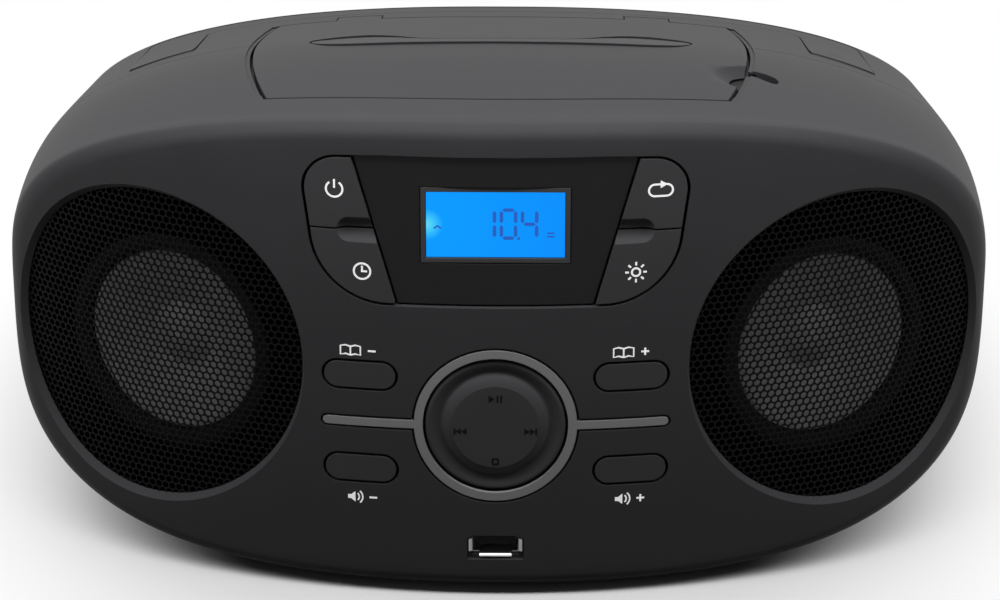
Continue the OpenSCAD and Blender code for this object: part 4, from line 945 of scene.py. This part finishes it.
# %% Tree that sets the tiles
weave = bpy.data.node_groups.new("speaker_mesh", "GeometryNodeTree")
into, out = group_sockets(
    weave, [("Geometry", GEOMETRY), ("Tile", "NodeSocketObject"), ("Paint", "NodeSocketMaterial")],
    [("Geometry", GEOMETRY)])
facing, upright = (node(weave, "GeometryNodeInputNamedAttribute", {"Name": name},
                        data_type="FLOAT_VECTOR") for name in ("facing", "upright"))
basis = node(weave, "FunctionNodeAxesToRotation",
             {"Primary Axis": facing.outputs["Attribute"],
              "Secondary Axis": upright.outputs["Attribute"]}, primary_axis="Z", secondary_axis="Y")
info = node(weave, "GeometryNodeObjectInfo", {"Object": into["Tile"]})
sow = node(weave, "GeometryNodeInstanceOnPoints",
           {"Points": into["Geometry"], "Instance": info.outputs["Geometry"],
            "Rotation": basis.outputs["Rotation"]})
real = node(weave, "GeometryNodeRealizeInstances", {"Geometry": sow.outputs["Instances"]})
coat = node(weave, "GeometryNodeSetMaterial",
            {"Geometry": real.outputs["Geometry"], "Material": into["Paint"]})
feed(weave, out["Geometry"], coat.outputs["Geometry"])
print("tree", weave.name, "with", len(weave.nodes), "nodes")

# %% Sow the tiles


def mesh_points(side):
    place = on_speaker(side)

    def spot(u, v):
        return np.array(place(u, v, face_height(side, u) - MESH_IN))

    spots, normals, ups = [], [], []
    rows = int(SPEAKER_HALF / MESH_ROW) + 1
    for row in range(-rows, rows + 1):
        for k in range(-rows, rows + 1):
            u, v = MESH_PITCH * (k + 0.5 * (row % 2)), MESH_ROW * row
            if hypot(u, v) > RIM_IN + 0.4:
                continue
            here = spot(u, v)
            right, up = spot(u + 1, v) - here, spot(u, v + 1) - here
            spots.append(here)
            normals.append(np.cross(right, up))
            ups.append(up)
    return spots, normals, ups


def speaker_mesh(side, name, part):
    spots, normals, ups = mesh_points(side)
    seed = new_piece(name + "_grid", spots, [])
    for key, rows in (("facing", normals), ("upright", ups)):
        layer = seed.data.attributes.new(key, "FLOAT_VECTOR", "POINT")
        layer.data.foreach_set("vector", np.array(rows, np.float32).ravel())
    sheet = seed.modifiers.new("mesh", "NODES")
    sheet.node_group = weave
    for key, value in (("Tile", tile), ("Paint", finishes["grille_black"])):
        sheet[weave.interface.items_tree[key].identifier] = value
    made = baked(seed)
    bpy.data.objects.remove(seed, do_unlink=True)
    hand_over(put(name, made), name, "cabinet", "grille_black", [part])


speaker_mesh(-1, "mesh_left", "left_grille")
speaker_mesh(1, "mesh_right", "right_grille")
bpy.data.objects.remove(tile, do_unlink=True)

# %% [markdown]
# ## Rear half of the cabinet
# The rear half has a channel for the folded handle, a shelf for the aerial, the battery bay, the
# mains and audio openings and a row of slots on each side. It is the same skin as the front, with
# the pockets' walls added first and their spaces cut last.

# %% Rear shell
BAY_HALF, BAY_LOW, BAY_H, BAY_D = 77.0, 18.0, 53.0, 28.0
SHELF_Z, SHELF_D, SHELF_X = 76.0, 220.5, (-146.0, 104.0)
POST_X, POST_ZS, POST_R, SCREW_R = 116.0, (26.0, 62.0), 5.5, 3.7
INLET_BLOCK, JACK_BLOCK = ((91, 117), (216, 230), (23, 41)), ((-112, -96), (222, 230), (24, 40))
PAST = 240


def sweep(g):
    return rod(-150, 150, ARM_D, arm_z, GRIP_D + GRIP_W - ARM_D + g, COARSE)


def behind(x, z, y):
    return (x, front_y + DEPTH + y, z)


rear = shell(WALL)
cut(rear, block(EVERY_X, (-100, PARTING + SEAM), EVERY_Z))
walls = from_above(handle_outline(ROOM + WALL))
cut(walls, skin_solid(HANDLE_T + ROOM + WALL))
add(walls, *noses(ROOM + WALL))
for x, d, z in (
        ((SHELF_X[0] - WALL, SHELF_X[1] + WALL), (SHELF_D - WALL, PAST), (SHELF_Z - WALL, HIGH)),
        ((-BAY_HALF - WALL, BAY_HALF + WALL), (DEPTH - BAY_D - WALL, PAST),
         (BAY_LOW - WALL, BAY_LOW + BAY_H + WALL)), INLET_BLOCK, JACK_BLOCK):
    add(walls, block(x, d, z))
for s in SIDES:
    for z in POST_ZS:
        post = prism(circle(s * POST_X, z, POST_R, 40), -(DEPTH - PARTING - 1), 0, behind)
        add(walls, post)
keep(walls, skin_solid(0.5))
add(rear, walls)
print("rear shell with pockets", len(rear.data.polygons), "faces")

# %% Rear openings
EAR_R, EAR_GAP, EAR_IN, EAR_OUT, EAR_LONG, PIN_R = 6.3, 0.5, 39, 53, 14, 4.2
VENT_X, VENT_Z, VENT_STEP, VENT_W, VENT_H = 97, 46, 5, 18, 2.2
SOCKET_X, SOCKET_Z, INLET_W, INLET_H, JACK_R, JACK_BODY = 104, 32, 20.4, 12.4, 4.2, 11
HINGE_BACK, HINGE_X, HINGE_DROP = 5, 56.4, 4.8
hinge_d = LID_REAR + HINGE_BACK
hinge_z = float(shoulder_z(HINGE_X, hinge_d)) - HINGE_DROP


def ear_span(side, g):
    return sorted((side * (EAR_IN - g), side * (EAR_OUT + g)))


def ear_block(side, g):
    return block(ear_span(side, g), (LID_REAR - EAR_LONG, hinge_d), (hinge_z - PIN_R - g, HIGH))


space = keep(from_above(handle_outline(ROOM)), sweep(ROOM))
cut(space, skin_solid(HANDLE_T + ROOM))
cut(rear, space, *noses(ROOM))
cut(rear, block(SHELF_X, (SHELF_D, PAST), (SHELF_Z, HIGH)))
cut(rear, block((-BAY_HALF, BAY_HALF), (DEPTH - BAY_D, PAST), (BAY_LOW, BAY_LOW + BAY_H)))
cut(rear, *opening_tools())
for s in SIDES:
    cut(rear, ear_block(s, ROOM), rod(*ear_span(s, ROOM), hinge_d, hinge_z, EAR_R + EAR_GAP))
    for z in POST_ZS:
        cut(rear, prism(circle(s * POST_X, z, SCREW_R, 32), -(DEPTH - PARTING - 7), 3, behind))
    for k in range(5):
        vent = stadium(s * VENT_X, VENT_Z + VENT_STEP * k, VENT_W, VENT_H, 11)
        cut(rear, prism(vent, -6, 4, behind))
cut(rear, prism(stadium(SOCKET_X, SOCKET_Z, INLET_W, INLET_H), -24, 3, behind),
    prism(circle(-SOCKET_X, SOCKET_Z, JACK_R, 40), -14, 3, behind),
    prism(oblong(-SOCKET_X, SOCKET_Z, JACK_BODY, JACK_BODY), -20, -2, behind))
hand_over(rear, "cabinet_rear", "cabinet", "case_black", ["rear_cabinet"])

# %% [markdown]
# ## Disc lid
# The lid is cut from the same skin, so that it carries on the cabinet's curve across the gap. A
# bone-shaped field crosses it, standing a little proud along its front edge, where it casts a dark
# line, and with a groove round it that is wider behind. The field is the same skin, tipped about a
# line across it, so that its ends sink towards the rear. The finger hollow at the right is the
# print of a large ball, set so that it breaks through the wall in a slim crescent beside the gap.

# %% Field and ball
FIELD_UP, FIELD_FRONT, FIELD_HINGE = 0.55, 110.0, 122.5
FIELD_GROOVE, GROOVE_W, GROOVE_BACK, GROOVE_FADE = 0.7, 0.6, 0.9, 9
field_half = smooth_profile([
    (0, 110.2), (22, 109.6), (40, 109.9), (49, 111.9), (54.3, 116), (57.4, 123.5), (55.4, 128.4),
    (47, 131.7), (40, 132.2), (33, 128.4), (26, 122.4), (19, 119.3), (9, 119.3), (0, 119.5)])
field_tip = max(range(len(field_half)), key=lambda k: field_half[k][0])


def field_outline(back):
    tip_x = field_half[field_tip][0]
    half = [(x, d + back * min(1.0, (tip_x - x) / GROOVE_FADE) if k > field_tip else d)
            for k, (x, d) in enumerate(field_half)]
    return half + [(-x, d) for x, d in half[::-1][1:-1]]


def tipped_skin(front, rear, up):
    skin = skin_solid(0, FINE)
    hinge = np.array((0, front_y + rear, float(top_z(rear)))) * MM
    tip = -atan(up / (rear - front))
    for vert in skin.data.vertices:
        y, z = vert.co.y - hinge[1], vert.co.z - hinge[2]
        vert.co.y = hinge[1] + y * cos(tip) - z * sin(tip)
        vert.co.z = hinge[2] + y * sin(tip) + z * cos(tip)
    return skin


def ball(x, y, z, r):
    shape = bmesh.new()
    bmesh.ops.create_icosphere(shape, subdivisions=6, radius=r * MM)
    bmesh.ops.translate(shape, verts=shape.verts, vec=Vector((x, y, z)) * MM)
    mesh = bpy.data.meshes.new("ball")
    shape.to_mesh(mesh)
    shape.free()
    return put("ball", mesh)


print("field outline", len(field_outline(0)), "points")

# %% Lid
HOLLOW_X, HOLLOW_D, HOLLOW_WIDE, HOLLOW_DEEP = 81.8, 78.5, 19.5, 3.3
edge = float(lid_side(HOLLOW_D))
reach = HOLLOW_X - edge
rise = (HOLLOW_WIDE ** 2 - reach ** 2 - HOLLOW_DEEP ** 2) / (2 * HOLLOW_DEEP)
tilt = atan(float(shoulder_z(edge - 0.5, HOLLOW_D) - shoulder_z(edge + 0.5, HOLLOW_D)))
hollow_at = (edge + reach * cos(tilt) + rise * sin(tilt), front_y + HOLLOW_D,
             float(shoulder_z(edge, HOLLOW_D)) - reach * sin(tilt) + rise * cos(tilt))
lid = shell(WALL)
keep(lid, from_above(lid_outline()))
groove = from_above(grown(field_outline(GROOVE_BACK), GROOVE_W))
cut(lid, cut(groove, skin_solid(FIELD_GROOVE, FINE)))
field = from_above(field_outline(0))
keep(field, tipped_skin(FIELD_FRONT, FIELD_HINGE, FIELD_UP))
add(lid, cut(field, skin_solid(1.0)))
cut(lid, ball(*hollow_at, hypot(HOLLOW_WIDE, rise)))
for s in SIDES:
    tab = cut(ear_block(s, 0), skin_solid(7))
    barrel = rod(*ear_span(s, 0), hinge_d, hinge_z, EAR_R)
    keep(barrel, block((-60, 60), (hinge_d - 2, hinge_d + 20), (hinge_z, HIGH)))
    add(tab, barrel)
    keep(tab, skin_solid(0))
    add(lid, tab, rod(*ear_span(s, 0), hinge_d, hinge_z, PIN_R))
hand_over(lid, "disc_lid", "lid", "case_black", ["cd_lid"])

# %% [markdown]
# ## Carrying handle
# Folded, the handle lies in its channel: two arms at the rear shoulders and a grip across the back.
# It is the cabinet's skin again, nine millimetres thick, inside the handle's outline. The skin is
# tipped about the grip, so that the arms' front ends stand a hair above the shoulders and catch the
# shade that the photograph shows.

# %% Handle
STAND = 0.4
grip = cut(tipped_skin(ARM_D, GRIP_D, STAND), skin_solid(HANDLE_T))
keep(grip, from_above(handle_outline(0)), sweep(0))
for end in noses(0):
    keep(end, tipped_skin(ARM_D, GRIP_D, STAND))
    add(grip, end)
hand_over(grip, "handle_arms", "carry_handle", "case_black", ["handle"])

# %% [markdown]
# ## Four-way pad
# The pad is a turned form: a dished skirt, out of which a flat disc rises with a round shoulder. A
# lathe in code spins a profile of a few points that a smooth curve passes through.

# %% Pad
PAD_TOP, PAD_R, PAD_UNDER = 0.6, 19.7, -3.4


def turned(profile, place, n=128):
    points = [place(0, 0, profile[0][1])]
    for r, w in profile[1:-1]:
        points += [place(u, v, w) for u, v in circle(0, 0, r, n)]
    points.append(place(0, 0, profile[-1][1]))
    rings = len(profile) - 2
    faces = [(0, 1 + j, 1 + (j + 1) % n) for j in range(n)]
    for k in range(rings - 1):
        a, b = 1 + k * n, 1 + (k + 1) * n
        faces += [(a + j, b + j, b + (j + 1) % n, a + (j + 1) % n) for j in range(n)]
    a = 1 + (rings - 1) * n
    faces += [(a + j, len(points) - 1, a + (j + 1) % n) for j in range(n)]
    return new_piece("turned", points, faces)


def on_pad(u, v, w):
    return on_face(u, PAD_Z + v, -w)


pad_top = smooth_profile([
    (0.01, PAD_TOP), (6, PAD_TOP), (11.9, PAD_TOP), (12.4, 0.5), (13.2, 0.16), (14.1, -0.36),
    (14.8, -0.95), (15.2, -1.5), (15.5, -1.72), (16.2, -1.6), (17.2, -1.15), (18.2, -0.75),
    (18.9, -0.65), (19.4, -0.85), (PAD_R, -1.5)])
pad = turned([(0, PAD_TOP)] + [tuple(p) for p in pad_top] + [(PAD_R, PAD_UNDER), (0, PAD_UNDER)],
             on_pad)
hand_over(pad, "pad_cap", "pad", "case_black", ["four_way_pad"], look="key_black")

# %% [markdown]
# ## Keys beside the display
# Each side of the display has two keys under one panel outline, split by a fine level gap and by
# the slanting divider. All four are cut from the cabinet's skin, so they keep its bow. A finger
# scoop, a rod with a round end, is taken out of both keys of a side and runs open to the divider.

# %% Keys
SPLIT_Z, SPLIT_HALF, SCOOP_R, SCOOP_OUT, SCOOP_END, KEY_ROOM = 110.5, 0.3, 4.2, 2.2, 40.7, 0.85
DIVIDER_LOW_X, DIVIDER_TOP_X, DIVIDER_LOW_Z, DIVIDER_H = 26.9, 39.7, 87.5, 45.5
CAP_T, CAP_FAR = 4, 14


def divider(z):
    slant = (DIVIDER_TOP_X - DIVIDER_LOW_X) * (z - DIVIDER_LOW_Z) / DIVIDER_H
    return DIVIDER_LOW_X + slant + KEY_ROOM / 2


def scoop(side):
    def place(a, b, x):
        return on_skin(side * x, SPLIT_Z + b, a - SCOOP_OUT)

    return [prism(circle(0, 0, SCOOP_R, 48), 22, SCOOP_END, place),
            ball(*place(0, 0, SCOOP_END), SCOOP_R)]


def key_cap(side, low, high, part):
    region = [(divider(low), low), (70, low), (70, high), (divider(high), high)]
    key = shell(CAP_T)
    keep(key, from_front(grown(panel_outline, -KEY_ROOM), CAP_FAR),
         from_front([(side * x, z) for x, z in region], CAP_FAR))
    cut(key, *scoop(side))
    hand_over(key, "key_cap_" + part, part + "_key_body", "case_black", [part + "_key"],
              look="key_black")


for side, upper_key, lower_key in ((-1, "power", "clock"), (1, "mode", "lamp")):
    key_cap(side, SPLIT_Z + SPLIT_HALF, 140, upper_key)
    key_cap(side, 80, SPLIT_Z - SPLIT_HALF, lower_key)

# %% [markdown]
# ## Pill-shaped buttons
# The four buttons are cut from the skin too, each with an even dark gap to the hole that it moves
# in.

# %% Buttons
for row, kind in ((1, "folder"), (-1, "volume")):
    for side, part in ((-1, kind + "_down"), (1, kind + "_up")):
        pill = shell(CAP_T)
        keep(pill, from_front(pill_outline(side, row, 0), CAP_FAR))
        hand_over(pill, "pill_" + part, part + "_button_body", "case_black", [part + "_button"],
                  look="key_black")

# %% [markdown]
# ## Grey ring
# Ring and bars are one moulding that lies flush in its seat, with a dark gap all round. It is the
# skin once more, a little over a millimetre thick.

# %% Ring
RING_T = 1.2
ring = shell(RING_T)
ring_tool = from_front(circle(0, PAD_Z, RING_R, ROUND), CAP_FAR)
add(ring_tool, from_front(bar_outline(0), CAP_FAR))
keep(ring, ring_tool)
cut(ring, prism(circle(0, PAD_Z, RING_R - RING_W + ROOM, ROUND), -4, 16, on_face))
hand_over(ring, "grey_ring", "cabinet", "trim_grey", ["trim_ring"])

# %% [markdown]
# ## Socket
# The socket's shell is folded from sheet. Its sides and its lower edge end in tabs that flare
# outwards, and the corners between the tabs are open, so each tab is a bent strip of its own.

# %% Socket shell
SHEET, BEND_FROM, BEND_DEEP = 0.3, 1.6, 1.1
SHELL_W, SHELL_H = 13.2, 5.8


def flare(start, out, n=8):
    turns = np.radians(np.linspace(0, 90, n))
    bend = [(start + (out - start) * (1 - cos(t)), BEND_FROM - BEND_DEEP * sin(t))
            for t in turns]
    inner = [(start - 0.5, 6.0), (start, BEND_FROM)] + bend[1:]
    return inner + [(a - SHEET * 0.2, b + SHEET) if b < 0.7 else (a + SHEET, b + 0.1)
                    for a, b in inner[::-1]]


socket = prism(oblong(0, USB_Z, SHELL_W, SHELL_H), 2.4, 14, on_face)
cut(socket, prism(oblong(0, USB_Z, 12.5, 5.1), 2, 13.4, on_face))
sides = [prism(flare(6.3, 7.6), -1.9, 1.9, lambda a, b, w, s=s: on_face(s * a, USB_Z + w, b))
         for s in SIDES]
lower = prism(flare(2.6, 3.5), -4.6, 4.6, lambda a, b, w: on_face(w, USB_Z - a, b))
# The shell and its side tabs take the darker copy of the steel as painted shade; the lower tab
# keeps the bright steel.
hand_over(joined("socket", socket, *sides), "socket_shell", "cabinet", "bright_metal",
          ["usb_shell"], look="socket_metal_painted_shade")
hand_over(lower, "socket_lip", "cabinet", "bright_metal", ["usb_shell"])

# %% [markdown]
# ## Printed signs
# The keys carry plain signs in white: on and off, a clock, a loop, a lamp, an open book for the
# folder buttons and a loudspeaker for the volume buttons. Each is built from flat strokes, a
# twentieth of a millimetre thick, that follow the bow of the face. The pad's own signs for play,
# stop and skip are dark.

# %% Strokes
PRINT = 0.05


def stroke(points, width):
    p = np.array(points, float)
    along = np.gradient(p, axis=0)
    across = np.stack([-along[:, 1], along[:, 0]], 1) / np.linalg.norm(along, axis=1)[:, None]
    left, right = p + across * width / 2, p - across * width / 2
    return [(left[i], left[i + 1], right[i + 1], right[i]) for i in range(len(p) - 1)]


def line(x0, z0, x1, z1, width):
    return stroke([(x0, z0), ((x0 + x1) / 2, (z0 + z1) / 2), (x1, z1)], width)


def patch(points):
    return [tuple(np.array(p, float) for p in points)]


def over_skin(x, z, out):
    return on_skin(x, z, -out)


def printed(name, body, patches, lift, look="print_white_painted_glow", slot="white_plastic", surface=over_skin):
    points, faces = [], []
    for corners in patches:
        n, first = len(corners), len(points)
        points += [surface(a, b, h) for h in (lift, lift + PRINT) for a, b in corners]
        faces.append(tuple(range(first + n, first + 2 * n)))
        faces.append(tuple(range(first, first + n))[::-1])
        faces += band(first, first + n, n)
    hand_over(new_piece(name, points, faces), name, body, slot, look=look)


print("stroke helpers ready")

# %% Signs of the keys
W, LIFT = 0.55, 0.01
power = stroke(arc(-44.3, 122.1, 2.3, 125, 415), W)
power += stroke([(-44.3, 122.4), (-44.3, 123.6), (-44.3, 124.9)], W)
clock = stroke(arc(-36.9, 98.4, 2.3, 0, 360, 37), W) + line(-36.9, 98.2, -36.9, 100.0, W)
clock += line(-37.1, 98.4, -35.5, 98.4, W)
loop = stroke(arc(43.7, 122.1, 1.7, 90, 270), W) + stroke(arc(46.9, 122.1, 1.7, -90, 90), W)
loop += line(43.7, 120.4, 46.9, 120.4, W)
loop += stroke([(43.7, 123.8), (44.6, 123.8), (45.6, 123.8)], W)
loop += patch([(45.2, 122.7), (47.2, 123.8), (45.2, 124.9)])
lamp = stroke(arc(38.8, 98.4, 1.15, 0, 360, 31), W)
for t in np.radians(range(0, 360, 45)):
    lamp += stroke([(38.8 + r * cos(t), 98.4 + r * sin(t)) for r in (2.0, 2.5, 3.0)], W)
for name, body, patches in (
        ("sign_power", "power_key_body", power), ("sign_clock", "clock_key_body", clock),
        ("sign_loop", "mode_key_body", loop), ("sign_lamp", "lamp_key_body", lamp)):
    printed(name, body, patches, LIFT)

# %% Signs beside the pill buttons
BOOK_W, WAVE_W = 0.45, 0.42
BOOK_X, BOOK_Z, LOUD_X, LOUD_Z = 38.1, 74.6, 37.8, 29.8


def plus_minus(x, z, plus):
    return line(x - 1.1, z, x + 1.1, z, W) + (line(x, z - 1.1, x, z + 1.1, W) if plus else [])


def book(x, z):
    left = [(x, z - 1.5), (x - 1.4, z - 1.1), (x - 2.8, z - 1.4),
            (x - 2.8, z + 1.2), (x - 1.4, z + 1.5), (x, z + 1.1)]
    right = [(2 * x - a, b) for a, b in left]
    spine = [(x, z - 1.5), (x, z), (x, z + 1.1)]
    return stroke(left, BOOK_W) + stroke(right[::-1], BOOK_W) + stroke(spine, BOOK_W)


def loudspeaker(x, z):
    cone = patch([(x - 2.2, z - 0.6), (x - 1.3, z - 0.6), (x - 0.1, z - 1.6),
                  (x - 0.1, z + 1.6), (x - 1.3, z + 0.6), (x - 2.2, z + 0.6)])
    return (cone + stroke(arc(x - 0.4, z, 1.4, -48, 48, 9), WAVE_W)
            + stroke(arc(x - 0.4, z, 2.4, -48, 48, 11), WAVE_W))


beside = []
for s in SIDES:
    beside += book(s * BOOK_X - 2.4, BOOK_Z) + plus_minus(s * BOOK_X + 3.6, BOOK_Z, s > 0)
    beside += loudspeaker(s * LOUD_X - 1.8, LOUD_Z) + plus_minus(s * LOUD_X + 3.2, LOUD_Z, s > 0)
printed("signs_beside_buttons", "cabinet", beside, LIFT)

# %% Signs on the pad
D, SKIP_X, STOP_Z = 0.5, 9.8, -10.5
on_rim = patch([(-1.9, 7.5), (-0.2, 8.6), (-1.9, 9.7)])
for x in (0.6, 1.6):
    on_rim += line(x, 7.5, x, 9.7, D)
for x in (-0.8, 0.8):
    on_rim += line(x, STOP_Z - 0.8, x, STOP_Z + 0.8, D) + line(-0.8, STOP_Z + x, 0.8, STOP_Z + x, D)
for s in SIDES:
    x = s * SKIP_X
    for tail, point in ((-1.7, -0.1), (-0.1, 1.4)):
        on_rim += patch([(x + s * tail, -2.3), (x + s * point, -1.3), (x + s * tail, -0.3)][::s])
    on_rim += line(x + s * 1.65, -2.3, x + s * 1.65, -0.3, D)
printed("signs_on_pad", "pad", on_rim, PAD_TOP + LIFT, look="print_dark", slot="soft_black",
        surface=on_pad)

# %% [markdown]
# ## Digits of the display
# The display shows a plain number in bars, as such displays do: seven bars a digit, a little
# darker than the glow behind them.

# %% Digits
BARS = {"0": "abcdef", "1": "bc", "4": "fgbc"}
DIGIT_Z, DIGIT_W, DIGIT_H, BAR_T, BAR_CUT, GLASS_D = 108.4, 3.9, 8.2, 1.0, 0.25, 2.6


def digit(x, sign):
    z, w, h, t = DIGIT_Z, DIGIT_W, DIGIT_H, BAR_T / 2
    spots = {"a": (x, z + h, w, 0), "g": (x, z + h / 2, w, 0), "d": (x, z, w, 0),
             "f": (x, z + h / 2, h / 2, 1), "b": (x + w, z + h / 2, h / 2, 1),
             "e": (x, z, h / 2, 1), "c": (x + w, z, h / 2, 1)}
    made = []
    for bar in BARS[sign]:
        a, b, length, upright = spots[bar]
        first, last = BAR_CUT, length - BAR_CUT
        shape = [(first, 0), (first + t, t), (last - t, t),
                 (last, 0), (last - t, -t), (first + t, -t)]
        if upright:
            made += patch([(a + v, b + u) for u, v in shape][::-1])
        else:
            made += patch([(a + u, b + v) for u, v in shape])
    return made


def on_glass(x, z, out):
    return on_face(x, z, GLASS_D - out)


number = digit(-4.2, "1") + digit(1.6, "0") + digit(7.4, "4")
number += patch([(6.0, 107.9), (6.7, 107.9), (6.7, 108.7), (6.0, 108.7)])
number += stroke([(-17.0, 111.2), (-16.0, 111.9), (-15.0, 111.2)], D)
for z in (108.9, 109.9):
    number += line(14.2, z, 16.2, z, D)
printed("display_digits", "cabinet", number, 0.02, look="digit_blue", slot="display_blue",
        surface=on_glass)

# %% [markdown]
# ## Finishes for the parts kept from the frame
# Boards, display and drive keep the frame's shape. Each gets its finish and the
# welding modifier, so that round parts look round.

# %% Dress the frame's parts
LOOKS = {
    "window_black": ["display_window"],
    "frame_black": ["lcd_frame"],
    "display_blue": ["lcd_glass"],
    "cone_grey": ["left_speaker_cone", "right_speaker_cone"],
    "soft_black": ["usb_tongue", "speaker_surrounds", "rubber_feet", "mount_grommets", "ac_inlet",
                   "jack_socket", "board_parts"],
    "tray_black": ["cd_deck", "optical_pickup", "left_speaker_frame", "right_speaker_frame",
                   "key_switches"],
    "case_black": ["battery_door"],
    "bright_metal": ["battery_contacts", "lid_hinge_pins", "handle_pivot_pins", "drive_motors",
                     "guide_rods", "board_screws", "cabinet_screws", "speaker_screws",
                     "aerial_base"],
    "aerial_chrome": ["aerial_tube", "aerial_middle", "aerial_rod"],
    "white_plastic": ["lcd_backlight", "spindle_hub", "sled_gear"],
    "inner_grey": ["mechanism_chassis", "speaker_magnets", "transformer", "pad_hub", "pad_post"],
    "board_green": ["control_board", "usb_board", "main_board"],
    "lens_clear": ["pickup_lens"],
}
for look, names in LOOKS.items():
    for name in names:
        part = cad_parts[name]
        if not part.data.materials:
            part.data.materials.append(None)
        for slot_of_part in part.material_slots:
            slot_of_part.link = "OBJECT"
            slot_of_part.material = finishes[look]
        part.modifiers.new("weld_and_smooth", "NODES").node_group = soften
print("dressed", sum(len(names) for names in LOOKS.values()), "parts of the frame")

# %% [markdown]
# ## Sizes at the end
# The box of the dressed object is printed beside the frame's own box, to see whether dressing
# it changed its size.

# %% Finish
dressed_box = [list(corner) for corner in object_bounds()]
print("frame", [[round(v, 4) for v in c] for c in cad_box])
print("dressed", [[round(v, 4) for v in c] for c in dressed_box])
